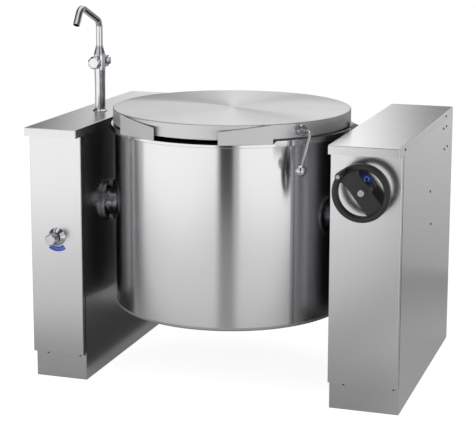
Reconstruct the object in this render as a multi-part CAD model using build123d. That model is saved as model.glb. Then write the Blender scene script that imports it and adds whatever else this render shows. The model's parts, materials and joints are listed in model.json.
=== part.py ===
"""Tilting steam jacketed kettle carried between two floor-standing consoles.

Lengths are in millimetres. X runs from the left console to the right one, Y from the front to the
back and Z upwards. The origin is on the floor, midway between the consoles and at half their depth.
The kettle tilts forward about an axis along X, turned by a handwheel through a worm and a wheel.
"""
import os
from math import asin, cos, pi, radians, sin, sqrt, tan

from build123d import *

# ------------------------------------------------------------------ consoles
CONSOLE_HEIGHT = 900.0
CONSOLE_DEPTH = 965.0
LEFT_WIDTH = 190.0
RIGHT_WIDTH = 235.0
SHEET = 1.5
SHEET_EDGE = 3.0
COVER_LIP = 30.0
PANEL_SETBACK = 38.0
PANEL_RETURN = 20.0
WRAP_SETBACK = 64.5
WRAP_FOLD = 24.0
PLINTH_HEIGHT = 96.0
PLINTH_RETURN = 30.0
HOOK_THICKNESS = 3.0
HOOK_HEIGHT = 40.0

# ------------------------------------------------------------------ console frames
TUBE = 30.0
TUBE_WALL = 2.5
FLOOR_PLATE = 8.0
FLOOR_PLATE_SIZE = 80.0
FLOOR_BOLT_HOLE = 7.0
FLOOR_BOLT_INSET = 152.5
BEARING_PLATE = 8.0
BEARING_PLATE_SIZE = 220.0
BEARING_POST_OFFSET = 95.0

# ------------------------------------------------------------------ tilting axis and its bearings
AXIS_SETBACK = 277.5
AXIS_BELOW_TOP = 294.0
TRUNNION_GAP = 29.0
SHAFT_RADIUS = 32.5
SHAFT_BORE = 17.0
BUSH_WALL = 6.0
BUSH_COLLAR = 4.0
HOUSING_FLANGE_RADIUS = 75.0
HOUSING_FLANGE = 14.0
HOUSING_HUB_RADIUS = 50.0
HOUSING_DEPTH = 66.0
HOUSING_BOLT_CIRCLE = 62.0
HOUSING_BOLTS = 4
HOUSING_CHAMFER = 1.5
BOLT_RADIUS = 6.0
BOLT_HEAD_RADIUS = 10.5
BOLT_HEAD = 8.0
BOLT_NUT = 10.0

# ------------------------------------------------------------------ kettle
KETTLE_OFFSET = 80.0
POT_RADIUS = 370.0
POT_WALL = 3.0
POT_KNUCKLE_SHARE = 0.2
POT_CROWN_SHARE = 2.0
POT_ABOVE_BOTTOM = 50.0
JACKET_GAP = 19.0
JACKET_WALL = 3.0
JACKET_ABOVE_AXIS = 90.0
INSULATION_GAP = 15.0
SADDLE_RADIUS = 55.0
CLAD_SHEET = 1.5
KETTLE_BELOW_AXIS = 346.0
BOTTOM_PAN_HEIGHT = 12.0
BOTTOM_PAN_EDGE = 6.0
RIM_OVERHANG = 14.0
RIM_ABOVE_AXIS = 293.0
RIM_HEIGHT = 21.0
RIM_EDGE = 1.5

# ------------------------------------------------------------------ pouring lip
LIP_TURN = -3.3
LIP_HALF_ANGLE = 40.0
LIP_DROP = 11.0
CHEEK_START_ANGLE = 15.3
CHEEK_END_ANGLE = 39.6
CHEEK_STANDOFF = 4.0
CHEEK_SHEET = 2.0
CHEEK_TALL = 64.0
CHEEK_LOW = 44.0
HEM_HEIGHT = 4.0
EAR_LENGTH = 115.0
EAR_TALL = 44.0
EAR_LOW = 14.0
EAR_SHEET = 3.0

# ------------------------------------------------------------------ lid and its hinge
LID_SETBACK = 8.0
LID_RISE = 54.0
LID_SKIRT = 49.0
LID_SHEET = 1.5
LID_EDGE = 3.0
LID_PAN_RISE = 4.0
SEAL_INSET = 18.0
SEAL_WIDTH = 18.0
HINGE_BEHIND_RIM = 22.0
HINGE_RISE = 26.0
HINGE_PIN_RADIUS = 6.0
HINGE_KNUCKLE = 14.0
HINGE_ARM_WIDTH = 100.0
HINGE_EAR = 12.0
HINGE_EAR_GAP = 0.5
HINGE_PIN_HEAD = 4.0

# ------------------------------------------------------------------ lid lever
LEVER_ANGLE = 50.2
LEVER_BELOW_LID = 24.0
LEVER_BOSS_RADIUS = 18.0
LEVER_BOSS_LENGTH = 22.0
LEVER_BOSS_CHAMFER = 1.5
LEVER_STANDOFF = 64.0
LEVER_ROD_RADIUS = 5.0
LEVER_LEAN = 17.0
LEVER_DROP = 127.0
LEVER_BEND = 14.0
LEVER_BALL_RADIUS = 19.5

# ------------------------------------------------------------------ worm drive
MODULE = 4.0
WHEEL_TEETH = 60
WORM_PITCH_RADIUS = 30.0
WORM_THREAD_TURNS = 6.5
PRESSURE_ANGLE = 20.0
TOOTH_SHARE = 0.40
TOOTH_ROOT_CLEARANCE = 0.8
WHEEL_FACE = 20.0
WHEEL_WEB = 10.0
WHEEL_RIM = 14.0
WHEEL_HUB_RADIUS = 52.0
WHEEL_HUB_LENGTH = 50.0
WHEEL_HOLES = 6
WHEEL_HOLE_RADIUS = 15.0
KEY_WIDTH = 18.0
KEY_HEIGHT = 11.0
WORM_SHAFT_RADIUS = 12.5
PILLOW_THICKNESS = 24.0
PILLOW_WIDTH = 64.0
PILLOW_TOP = 26.0
PILLOW_BASE = 30.0
PILLOW_RAIL = 20.0
PILLOW_FOOT = 12.0

# ------------------------------------------------------------------ handwheel
HANDWHEEL_RADIUS = 95.0
HANDWHEEL_RIM = 19.0
HANDWHEEL_DEPTH = 28.0
HANDWHEEL_STANDOFF = 47.0
HANDWHEEL_BAR_WIDTH = 57.0
HANDWHEEL_BAR = 10.0
HANDWHEEL_FLARE = 30.0
HANDWHEEL_RING = 3.0
HANDWHEEL_HUB_RADIUS = 21.0
HANDWHEEL_BOSS_RADIUS = 25.0
HANDWHEEL_TURN = 128.0
CAP_RADIUS = 11.5
CAP_HEIGHT = 5.0
CAP_SLOT = 2.4
CAP_SLOT_DEPTH = 1.5
CAP_SLOT_TURN = 35.0
GRIP_RADIUS = 12.0
GRIP_LENGTH = 85.0
GRIP_PIN_RADIUS = 5.0
GRIP_PIN_DEPTH = 14.0
GRIP_PIN_HEAD = 4.0
BUSH_FLANGE = 6.0

# ------------------------------------------------------------------ steam fittings
KNOB_OFFSET = 3.0
KNOB_BELOW_AXIS = 90.0
KNOB_RADIUS = 19.0
KNOB_PROTRUSION = 60.0
KNOB_LENGTH = 34.0
KNOB_NECK = 8.0
KNOB_CHAMFER = 3.0
KNOB_FLUTES = 12
KNOB_FLUTE_RADIUS = 1.6
ESCUTCHEON_RADIUS = 32.0
ESCUTCHEON_HEIGHT = 14.0
ESCUTCHEON_EDGE = 2.0
STEM_RADIUS = 6.0
VALVE_RADIUS = 22.0
VALVE_LENGTH = 70.0
VALVE_BEHIND_PANEL = 44.0
VALVE_PORT = 13.0
VALVE_BONNET = 18.0
STEAM_PIPE_RADIUS = 13.45
STEAM_PIPE_WALL = 2.3
CONDENSATE_PIPE_RADIUS = 8.6
CONDENSATE_PIPE_WALL = 1.8
CONDENSATE_BELOW_AXIS = 266.0
PIPE_STUB = 30.0
PIPE_END_CUT = 0.4
PIPE_BEND = 25.0
ROTARY_RADIUS = 38.0
ROTARY_GAP = 4.0
ROTARY_STEAM_CHAMBER = 26.0
ROTARY_WALL = 5.0
ROTARY_DRAIN_CHAMBER = 17.0
ROTARY_PORT_LENGTH = 55.0
ROTARY_NIPPLE = 28.0
ROTARY_PORT_WALL = 3.0
ROTARY_CHAMFER = 4.0
LEFT_SHAFT_REACH = 106.0
SIPHON_RADIUS = 6.0
SIPHON_WALL = 1.0

# ------------------------------------------------------------------ mixer tap
TAP_SETBACK = 433.5
TAP_BASE_RADIUS = 27.0
TAP_BASE_HEIGHT = 7.0
TAP_COLUMN_RADIUS = 19.0
TAP_BODY_RADIUS = 20.5
TAP_KNOB_HEIGHT = 181.0
TAP_SWELL = 30.0
TAP_SHOULDER = 24.0
TAP_TOP_ABOVE_KNOBS = 59.0
TAP_BOSS_RADIUS = 12.0
TAP_SHANK_RADIUS = 17.0
TAP_SHANK = 40.0
TAP_KNOB_RADIUS = 24.0
TAP_KNOB_LENGTH = 25.0
TAP_KNOB_OFFSET = 32.0
TAP_KNOB_FLUTES = 8
TAP_KNOB_FLUTE_RADIUS = 6.0
TAP_KNOB_EDGE = 7.0
SPOUT_RADIUS = 12.0
SPOUT_WALL = 1.5
SPOUT_NECK = 1.2
SPOUT_RISER = 89.0
SPOUT_ARM_REACH = 160.0
SPOUT_ARM_RISE = 64.0
SPOUT_REACH = 200.0
SPOUT_FALL = 62.0
SPOUT_BEND = 34.0
SPOUT_COLLAR_HEIGHT = 18.0
WATER_PIPE_RADIUS = 6.0
WATER_PIPE_WALL = 1.0
WATER_PIPE_SPREAD = 8.0
HOT_INLET_BELOW_TOP = 140.0
COLD_INLET_BELOW_TOP = 200.0

# ------------------------------------------------------------------ clearances
RUNNING = 0.05
CURVED_SEAT = 0.3
SMALL_GAP = 0.5
HOLE_GAP = 0.5
PIPE_HOLE_GAP = 2.0

# ------------------------------------------------------------------ places that follow from the sizes
FRONT = -CONSOLE_DEPTH / 2
BACK = CONSOLE_DEPTH / 2
AXIS_Y = FRONT + AXIS_SETBACK
AXIS_Z = CONSOLE_HEIGHT - AXIS_BELOW_TOP
POT_OUTER = POT_RADIUS + POT_WALL
POT_KNUCKLE = POT_KNUCKLE_SHARE * POT_RADIUS
POT_CROWN = POT_CROWN_SHARE * POT_RADIUS
JACKET_INNER = POT_OUTER + JACKET_GAP
JACKET_OUTER = JACKET_INNER + JACKET_WALL
JACKET_TOP = AXIS_Z + JACKET_ABOVE_AXIS
CLAD_RADIUS = JACKET_OUTER + INSULATION_GAP
CONSOLE_GAP = 2 * (CLAD_RADIUS + TRUNNION_GAP)
KETTLE_Y = AXIS_Y + KETTLE_OFFSET
KETTLE_BOTTOM = AXIS_Z - KETTLE_BELOW_AXIS
POT_BOTTOM = KETTLE_BOTTOM + POT_ABOVE_BOTTOM
RIM_RADIUS = CLAD_RADIUS + RIM_OVERHANG
RIM_TOP = AXIS_Z + RIM_ABOVE_AXIS
RIM_BOTTOM = RIM_TOP - RIM_HEIGHT
CHEEK_RADIUS = RIM_RADIUS + CHEEK_STANDOFF
LID_RADIUS = RIM_RADIUS - LID_SETBACK
LID_TOP = RIM_TOP + LID_RISE
SEAL_RADIUS = LID_RADIUS - SEAL_INSET
HINGE_Y = KETTLE_Y + RIM_RADIUS + HINGE_BEHIND_RIM
HINGE_Z = RIM_TOP + HINGE_RISE
LEVER_Z = LID_TOP - LEVER_BELOW_LID
LEVER_REACH = LID_RADIUS + LEVER_STANDOFF
PANEL_FRONT = FRONT + PANEL_SETBACK
WRAP_FRONT = FRONT + WRAP_SETBACK
WRAP_TOP = CONSOLE_HEIGHT - COVER_LIP
LEFT_INNER = -CONSOLE_GAP / 2
LEFT_OUTER = LEFT_INNER - LEFT_WIDTH
RIGHT_INNER = CONSOLE_GAP / 2
RIGHT_OUTER = RIGHT_INNER + RIGHT_WIDTH
FLOOR_BOLT_SPACING_X = CONSOLE_GAP + LEFT_WIDTH
FLOOR_BOLT_SPACING_Y = CONSOLE_DEPTH - 2 * FLOOR_BOLT_INSET
WORM_X = (RIGHT_INNER + RIGHT_OUTER) / 2
WHEEL_PITCH_RADIUS = MODULE * WHEEL_TEETH / 2
WORM_Z = AXIS_Z + WHEEL_PITCH_RADIUS + WORM_PITCH_RADIUS
THREAD_PITCH = pi * MODULE
LEFT_SHAFT_END = LEFT_INNER - LEFT_SHAFT_REACH
RIGHT_SHAFT_END = WORM_X + WHEEL_HUB_LENGTH / 2 + SMALL_GAP
WHEEL_RIM_BACK = PANEL_FRONT - HANDWHEEL_STANDOFF
WHEEL_RIM_FRONT = WHEEL_RIM_BACK - HANDWHEEL_DEPTH
GRIP_CIRCLE = HANDWHEEL_RADIUS - HANDWHEEL_RIM / 2
TAP_X = (LEFT_INNER + LEFT_OUTER) / 2
TAP_Y = FRONT + TAP_SETBACK
TAP_KNOB_Z = CONSOLE_HEIGHT + TAP_KNOB_HEIGHT
TAP_BODY_TOP = TAP_KNOB_Z + TAP_TOP_ABOVE_KNOBS
SHOULDER_LOW = TAP_KNOB_Z + TAP_SHOULDER
SPOUT_BEND_Z = TAP_BODY_TOP + SPOUT_RISER
SPOUT_APEX_Z = SPOUT_BEND_Z + SPOUT_ARM_RISE
KNOB_X = TAP_X + KNOB_OFFSET
KNOB_Z = AXIS_Z - KNOB_BELOW_AXIS
CONDENSATE_OUTLET_Z = AXIS_Z - CONDENSATE_BELOW_AXIS
HOT_INLET_Z = CONSOLE_HEIGHT - HOT_INLET_BELOW_TOP
COLD_INLET_Z = CONSOLE_HEIGHT - COLD_INLET_BELOW_TOP


# ------------------------------------------------------------------ helpers
def block(x, y, z):
    """A block between two limits along each axis."""
    size = [abs(limits[1] - limits[0]) for limits in (x, y, z)]
    middle = [(limits[0] + limits[1]) / 2 for limits in (x, y, z)]
    return Pos(*middle) * Box(*size)


def rod_x(radius, x, y, z):
    """A round bar along X between two limits."""
    return Pos((x[0] + x[1]) / 2, y, z) * Rot(0, 90, 0) * Cylinder(radius, abs(x[1] - x[0]))


def rod_y(radius, x, y, z):
    """A round bar along Y between two limits."""
    return Pos(x, (y[0] + y[1]) / 2, z) * Rot(90, 0, 0) * Cylinder(radius, abs(y[1] - y[0]))


def rod_z(radius, x, y, z):
    """A round bar along Z between two limits."""
    return Pos(x, y, (z[0] + z[1]) / 2) * Cylinder(radius, abs(z[1] - z[0]))


def turned(outline):
    """A round piece about Z from its half section of (radius, height) points."""
    return revolve(make_face(Polyline(*[(r, 0, h) for r, h in outline], close=True)), Axis.Z)


def pipe(points, bend, radius, wall):
    """A pipe of straight runs joined by bends."""
    path = FilletPolyline(*points, radius=bend) if len(points) > 2 else Line(*points)
    section = Plane(origin=path @ 0, z_dir=path % 0) * (Circle(radius) - Circle(radius - wall))
    return sweep(section, path=path)


def square_tube(x, y, z, along):
    """A square tube that fills the given limits, hollow along one axis."""
    limits = [x, y, z]
    bore = [(low + TUBE_WALL, high - TUBE_WALL) for low, high in limits]
    bore[along] = (limits[along][0] - 1, limits[along][1] + 1)
    return block(*limits) - block(*bore)


def save(node, *pieces):
    """Write the pieces of one node to its own file."""
    shape = pieces[0] if len(pieces) == 1 else Compound(children=list(pieces))
    export_step(shape, f"parts/{node}.step")


# ------------------------------------------------------------------ console sheet metal
class Console:
    """The limits of one console and the way from it to the kettle."""

    def __init__(self, inner, outer):
        self.inner = inner
        self.left = min(inner, outer)
        self.right = max(inner, outer)
        self.middle = (inner + outer) / 2
        self.into = 1 if outer > inner else -1

    def depth(self, distance):
        """The x at a distance from the inner face, into the console."""
        return self.inner + self.into * distance


LEFT = Console(LEFT_INNER, LEFT_OUTER)
RIGHT = Console(RIGHT_INNER, RIGHT_OUTER)


def cover(console):
    """The folded tray that closes a console from above; its overhang is folded back to the panel."""
    tray = block((console.left, console.right), (FRONT, BACK), (WRAP_TOP, CONSOLE_HEIGHT))
    tray = fillet(tray.edges().filter_by(Axis.Z) + tray.edges().group_by(Axis.Z)[-1], SHEET_EDGE)
    inside_x = (console.left + SHEET, console.right - SHEET)
    tray -= block(inside_x, (FRONT + SHEET, BACK - SHEET), (WRAP_TOP + SHEET, CONSOLE_HEIGHT - SHEET))
    return tray - block(inside_x, (PANEL_FRONT + PANEL_RETURN, BACK - SHEET), (WRAP_TOP, WRAP_TOP + SHEET))


def wrap(console):
    """The two sides and the back in one folded sheet, with folds along the front and the top."""
    body = block((console.left, console.right), (WRAP_FRONT, BACK), (0, WRAP_TOP))
    inside_x = (console.left + SHEET, console.right - SHEET)
    body -= block(inside_x, (WRAP_FRONT + SHEET, BACK - SHEET), (0, WRAP_TOP - SHEET))
    window_x = (console.left + WRAP_FOLD, console.right - WRAP_FOLD)
    body -= block(window_x, (WRAP_FRONT, WRAP_FRONT + SHEET), (PLINTH_HEIGHT, WRAP_TOP - WRAP_FOLD))
    body -= block(inside_x, (WRAP_FRONT, WRAP_FRONT + SHEET), (0, PLINTH_HEIGHT))
    body -= block(window_x, (WRAP_FRONT + WRAP_FOLD, BACK - WRAP_FOLD), (WRAP_TOP - SHEET, WRAP_TOP))
    side = (console.depth(-1), console.depth(SHEET + 1))
    body -= rod_x(HOUSING_HUB_RADIUS + HOLE_GAP, side, AXIS_Y, AXIS_Z)
    return body - housing_bolt_shanks(console, BOLT_RADIUS + HOLE_GAP)


def left_wrap():
    """The left wrap with the holes in its back for the four pipes."""
    body = wrap(LEFT)
    back = (BACK - SHEET - 1, BACK + 1)
    for x, z, radius in pipe_outlets():
        body -= rod_y(radius + PIPE_HOLE_GAP, x, back, z)
    return body


def front_panel(console):
    """A shallow tray with folded edges, hooked to the folds of the wrap."""
    x = (console.left, console.right)
    z = (PLINTH_HEIGHT + SMALL_GAP, WRAP_TOP)
    tray = block(x, (PANEL_FRONT, PANEL_FRONT + PANEL_RETURN), z)
    tray = fillet(tray.edges().filter_by(Axis.Z).group_by(Axis.Y)[0], SHEET_EDGE)
    inside_z = (z[0] + SHEET, z[1] - SHEET)
    inside_x = (x[0] + SHEET, x[1] - SHEET)
    tray -= block(inside_x, (PANEL_FRONT + SHEET, PANEL_FRONT + PANEL_RETURN), inside_z)
    for edge in (x[0] + WRAP_FOLD / 2, x[1] - WRAP_FOLD / 2):
        hook_x = (edge - HOOK_THICKNESS / 2, edge + HOOK_THICKNESS / 2)
        for low in (z[0] + HOOK_HEIGHT, WRAP_TOP - 2 * HOOK_HEIGHT):
            tray += block(hook_x, (PANEL_FRONT + SHEET, WRAP_FRONT), (low, low + HOOK_HEIGHT))
    return tray


def plinth(console):
    """The set-back kick plate, folded at its ends, its top and its foot."""
    x = (console.left + SHEET + CURVED_SEAT, console.right - SHEET - CURVED_SEAT)
    body = block(x, (WRAP_FRONT, WRAP_FRONT + PLINTH_RETURN), (0, PLINTH_HEIGHT))
    inside = (WRAP_FRONT + SHEET, WRAP_FRONT + PLINTH_RETURN)
    return body - block((x[0] + SHEET, x[1] - SHEET), inside, (SHEET, PLINTH_HEIGHT - SHEET))


# ------------------------------------------------------------------ console frames
def frame(console):
    """The welded tube frame in a console, with floor plates and the plate that carries a bearing."""
    left = console.left + SHEET + CURVED_SEAT
    right = console.right - SHEET - CURVED_SEAT
    front = WRAP_FRONT + PLINTH_RETURN + SMALL_GAP
    back = BACK - SHEET - CURVED_SEAT
    top = WRAP_TOP - SHEET
    sides = ((left, left + TUBE), (right - TUBE, right))
    ends = ((front, front + TUBE), (back - TUBE, back))
    heights = ((FLOOR_PLATE, FLOOR_PLATE + TUBE), (top - TUBE, top))
    low, high = heights[0][1], heights[1][0]
    body = square_tube(sides[0], ends[0], (low, high), 2)
    for x in sides:
        for y in ends:
            body += square_tube(x, y, (low, high), 2)
        for z in heights:
            body += square_tube(x, (front, back), z, 1)
    for y in ends:
        for z in heights:
            body += square_tube((sides[0][1], sides[1][0]), y, z, 0)
    return body + bearing_plate(console, low, high) + floor_plates(console, sides)


def bearing_plate(console, low, high):
    """Two posts behind the inner side and the bored plate between them."""
    near = console.depth(SHEET + CURVED_SEAT)
    post_x = tuple(sorted((near, near + console.into * TUBE)))
    body = None
    for offset in (-BEARING_POST_OFFSET, BEARING_POST_OFFSET):
        post_y = (AXIS_Y + offset - TUBE / 2, AXIS_Y + offset + TUBE / 2)
        post = square_tube(post_x, post_y, (low, high), 2)
        body = post if body is None else body + post
    half = BEARING_POST_OFFSET - TUBE / 2
    height = (AXIS_Z - BEARING_PLATE_SIZE / 2, AXIS_Z + BEARING_PLATE_SIZE / 2)
    plate_x = tuple(sorted((near, near + console.into * BEARING_PLATE)))
    body += block(plate_x, (AXIS_Y - half, AXIS_Y + half), height)
    through = (console.depth(0), console.depth(TUBE))
    body -= rod_x(HOUSING_HUB_RADIUS + HOLE_GAP, through, AXIS_Y, AXIS_Z)
    return body - housing_bolt_shanks(console, BOLT_RADIUS + HOLE_GAP)


def floor_plates(console, sides):
    """The two bored plates that a console is bolted down through."""
    x = console.into * FLOOR_BOLT_SPACING_X / 2
    body = Part()
    for y in (-FLOOR_BOLT_SPACING_Y / 2, FLOOR_BOLT_SPACING_Y / 2):
        span = (y - FLOOR_PLATE_SIZE / 2, y + FLOOR_PLATE_SIZE / 2)
        body += block((sides[0][0], sides[1][1]), span, (0, FLOOR_PLATE))
        body -= rod_z(FLOOR_BOLT_HOLE, x, y, (-1, FLOOR_PLATE + 1))
    return body


def right_frame():
    """The right frame, with the posts and cross rails that carry the worm bearings."""
    body = frame(RIGHT)
    inner_x = RIGHT_INNER + SHEET + CURVED_SEAT + TUBE
    outer = RIGHT_OUTER - SHEET - CURVED_SEAT
    low = FLOOR_PLATE + TUBE
    high = WRAP_TOP - SHEET - TUBE
    rail_top = WORM_Z - PILLOW_BASE
    for offset in (-BEARING_POST_OFFSET, BEARING_POST_OFFSET):
        post_y = (AXIS_Y + offset - TUBE / 2, AXIS_Y + offset + TUBE / 2)
        body += square_tube((outer - TUBE, outer), post_y, (low, high), 2)
        rail_z = (rail_top - PILLOW_RAIL, rail_top)
        body += square_tube((inner_x, outer - TUBE), post_y, rail_z, 0)
    return body


# ------------------------------------------------------------------ bearings of the tilting axis
def housing_bolt_places():
    """The (y, z) places of the bolts that hold a bearing housing."""
    places = []
    for k in range(HOUSING_BOLTS):
        angle = radians(90 + 360 * k / HOUSING_BOLTS)
        y = AXIS_Y + HOUSING_BOLT_CIRCLE * cos(angle)
        places.append((y, AXIS_Z + HOUSING_BOLT_CIRCLE * sin(angle)))
    return places


def housing_bolt_shanks(console, radius):
    """Round bars where the housing bolts pass through sheet and plate."""
    far = SHEET + CURVED_SEAT + BEARING_PLATE + BOLT_NUT
    span = (console.depth(-HOUSING_FLANGE), console.depth(far))
    return Part() + [rod_x(radius, span, y, z) for y, z in housing_bolt_places()]


def bearing_housing(console):
    """A flanged housing, bolted to the inner side of a console, bored for its bush."""
    bore = SHAFT_RADIUS + RUNNING + BUSH_WALL + RUNNING
    flange = (console.depth(-HOUSING_FLANGE), console.depth(0))
    body = rod_x(HOUSING_FLANGE_RADIUS, flange, AXIS_Y, AXIS_Z)
    body = chamfer(body.edges(), HOUSING_CHAMFER)
    body += rod_x(HOUSING_HUB_RADIUS, (console.depth(0), console.depth(HOUSING_DEPTH)), AXIS_Y, AXIS_Z)
    body -= rod_x(bore, (flange[0], console.depth(HOUSING_DEPTH)), AXIS_Y, AXIS_Z)
    return body - housing_bolt_shanks(console, BOLT_RADIUS + HOLE_GAP)


def bearing_bush(console):
    """A plain bush with a thrust collar towards the kettle."""
    outer = SHAFT_RADIUS + RUNNING + BUSH_WALL
    face = -HOUSING_FLANGE
    body = rod_x(outer, (console.depth(face), console.depth(HOUSING_DEPTH)), AXIS_Y, AXIS_Z)
    collar = (console.depth(face - BUSH_COLLAR), console.depth(face))
    body += rod_x(outer + BUSH_WALL, collar, AXIS_Y, AXIS_Z)
    return body - rod_x(SHAFT_RADIUS + RUNNING, (collar[0], console.depth(HOUSING_DEPTH)), AXIS_Y, AXIS_Z)


def housing_bolts():
    """Hexagon bolts through both bearing housings, each in one piece with its nut."""
    bolts = []
    for console in (LEFT, RIGHT):
        head_x = console.depth(-HOUSING_FLANGE)
        plate_x = console.depth(SHEET + CURVED_SEAT + BEARING_PLATE)
        for y, z in housing_bolt_places():
            bolt = rod_x(BOLT_RADIUS, (head_x, plate_x), y, z)
            for start, length in ((head_x, -BOLT_HEAD), (plate_x, BOLT_NUT)):
                face = Plane(origin=(start, y, z), x_dir=(0, 1, 0), z_dir=(console.into, 0, 0))
                bolt += extrude(face * RegularPolygon(BOLT_HEAD_RADIUS, 6), length)
            bolts.append(bolt)
    return bolts


# ------------------------------------------------------------------ kettle vessel
def vessel(radius, bottom, knuckle, crown, top):
    """A solid vessel about Z with a dished bottom: a shallow crown met by a rounded knuckle."""
    rise = sqrt((crown - knuckle) ** 2 - (radius - knuckle) ** 2)
    crown_z = bottom + crown
    knuckle_z = crown_z - rise
    swing = asin((radius - knuckle) / (crown - knuckle))
    crown_mid = (crown * sin(swing / 2), 0, crown_z - crown * cos(swing / 2))
    joint = (crown * sin(swing), 0, crown_z - crown * cos(swing))
    half = (pi / 2 - swing) / 2
    knuckle_mid = (radius - knuckle + knuckle * cos(half), 0, knuckle_z - knuckle * sin(half))
    edges = [
        ThreePointArc((0, 0, bottom), crown_mid, joint),
        ThreePointArc(joint, knuckle_mid, (radius, 0, knuckle_z)),
        Polyline((radius, 0, knuckle_z), (radius, 0, top), (0, 0, top), (0, 0, bottom)),
    ]
    return revolve(make_face(Curve() + edges), Axis.Z)


def grown_vessel(growth, top):
    """The vessel shape of the pot, grown outwards by a distance."""
    return vessel(POT_RADIUS + growth, POT_BOTTOM - growth, POT_KNUCKLE + growth, POT_CROWN + growth, top)


def at_kettle(shape):
    """Move a piece from the kettle's own axis to its place between the consoles."""
    return Pos(0, KETTLE_Y, 0) * shape


def lip_direction(angle):
    """A level direction at an angle from the middle of the pouring lip, positive to the right."""
    turn = radians(LIP_TURN + angle)
    return sin(turn), -cos(turn)


def lip_notch():
    """The wedge cut from the rim at the pouring lip, its two ends sloping at 45 degrees."""
    low = RIM_TOP - LIP_DROP
    reach = 2 * RIM_RADIUS
    corners = [(0.0, 0.0)]
    for angle in (-LIP_HALF_ANGLE, LIP_HALF_ANGLE):
        x, y = lip_direction(angle)
        corners.append((x * reach, y * reach))
    face = Pos(0, 0, low) * make_face(Polyline(*corners, close=True))
    back = LIP_DROP / sin(radians(LIP_HALF_ANGLE))
    x, y = lip_direction(0)
    rise = Vector(-x * back, -y * back, LIP_DROP)
    return extrude(face, amount=rise.length * 1.001, dir=rise.normalized())


def inner_pot():
    """The food vessel, its rim lowered at the pouring lip."""
    body = grown_vessel(POT_WALL, RIM_TOP) - grown_vessel(0, RIM_TOP + 1)
    return at_kettle(body - lip_notch())


def steam_jacket():
    """The outer wall of the steam space, closed to the pot by a ring at its top."""
    growth = POT_WALL + JACKET_GAP
    body = grown_vessel(growth + JACKET_WALL, JACKET_TOP)
    body -= grown_vessel(growth, JACKET_TOP - JACKET_WALL)
    body -= rod_z(POT_OUTER + CURVED_SEAT, 0, 0, (JACKET_TOP - 2 * JACKET_WALL, JACKET_TOP + 1))
    return at_kettle(body) - rod_x(SHAFT_BORE, (-JACKET_OUTER, 0), AXIS_Y, AXIS_Z)


def insulation():
    """The mineral wool between the jacket and the cladding."""
    outer = CLAD_RADIUS - CLAD_SHEET - CURVED_SEAT
    body = rod_z(outer, 0, 0, (KETTLE_BOTTOM + CLAD_SHEET, RIM_BOTTOM))
    body = fillet(body.edges().sort_by(Axis.Z)[0], BOTTOM_PAN_EDGE)
    growth = POT_WALL + JACKET_GAP + JACKET_WALL + CURVED_SEAT
    body -= grown_vessel(growth, JACKET_TOP)
    body -= rod_z(POT_OUTER + CURVED_SEAT, 0, 0, (JACKET_TOP, RIM_BOTTOM))
    span = (-CLAD_RADIUS, CLAD_RADIUS)
    return at_kettle(body) - rod_x(SADDLE_RADIUS + CURVED_SEAT, span, AXIS_Y, AXIS_Z)


def cladding():
    """The outer skin, with a hole for each trunnion."""
    height = (KETTLE_BOTTOM + BOTTOM_PAN_HEIGHT, RIM_BOTTOM)
    body = rod_z(CLAD_RADIUS, 0, 0, height) - rod_z(CLAD_RADIUS - CLAD_SHEET, 0, 0, height)
    span = (-CLAD_RADIUS, CLAD_RADIUS)
    return at_kettle(body) - rod_x(SHAFT_RADIUS + CURVED_SEAT, span, AXIS_Y, AXIS_Z)


def bottom_pan():
    """The pressed pan that closes the cladding from below, with a rounded edge."""
    top = KETTLE_BOTTOM + BOTTOM_PAN_HEIGHT
    body = rod_z(CLAD_RADIUS, 0, 0, (KETTLE_BOTTOM, top))
    body = fillet(body.edges().sort_by(Axis.Z)[0], BOTTOM_PAN_EDGE)
    inside = rod_z(CLAD_RADIUS - CLAD_SHEET, 0, 0, (KETTLE_BOTTOM + CLAD_SHEET, top))
    inside = fillet(inside.edges().sort_by(Axis.Z)[0], BOTTOM_PAN_EDGE - CLAD_SHEET)
    return at_kettle(body - inside)


def rim_ring():
    """The flat ring round the mouth, lowered at the pouring lip."""
    body = rod_z(RIM_RADIUS, 0, 0, (RIM_BOTTOM, RIM_TOP))
    body = fillet(body.edges(), RIM_EDGE)
    body -= rod_z(POT_OUTER + CURVED_SEAT, 0, 0, (RIM_BOTTOM - 1, RIM_TOP + 1))
    return at_kettle(body - lip_notch())


def lip_cheek(start, end):
    """A flat upright plate beside the pouring lip, taller at its outer end, with a folded hem."""
    low = RIM_TOP - LIP_DROP
    near = lip_direction(start)
    far = lip_direction(end)
    origin = Vector(CHEEK_RADIUS * near[0], CHEEK_RADIUS * near[1], low)
    along = Vector(CHEEK_RADIUS * far[0], CHEEK_RADIUS * far[1], low) - origin
    length = along.length
    outwards = along.cross(Vector(0, 0, 1)).normalized()
    if outwards.dot(origin) < 0:
        outwards = outwards * -1
    side = Plane(origin=origin, x_dir=along, z_dir=outwards)
    up = side.to_local_coords(origin + Vector(0, 0, 1)).Y
    outline = [(0, 0), (length, 0), (length, up * CHEEK_TALL), (0, up * CHEEK_LOW)]
    hem = [(0, up * (CHEEK_LOW - HEM_HEIGHT)), (length, up * (CHEEK_TALL - HEM_HEIGHT))]
    plate = extrude(side * make_face(Polyline(*outline, close=True)), CHEEK_SHEET)
    fold = extrude(side * make_face(Polyline(*hem, *outline[2:], close=True)), 2 * CHEEK_SHEET)
    return at_kettle(plate + fold)


def lip_cheeks():
    """The cheek on each side of the pouring lip."""
    return [lip_cheek(side * CHEEK_START_ANGLE, side * CHEEK_END_ANGLE) for side in (1, -1)]


def rim_ear():
    """The sloping guard plate on the right of the rim, beside the console."""
    near = RIM_RADIUS + CURVED_SEAT
    outline = [(0, 0), (EAR_LENGTH, 0), (EAR_LENGTH, EAR_LOW), (0, EAR_TALL)]
    side = Plane(origin=(near, 0, RIM_BOTTOM), x_dir=(0, 1, 0), z_dir=(1, 0, 0))
    return at_kettle(extrude(side * make_face(Polyline(*outline, close=True)), EAR_SHEET))


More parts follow.
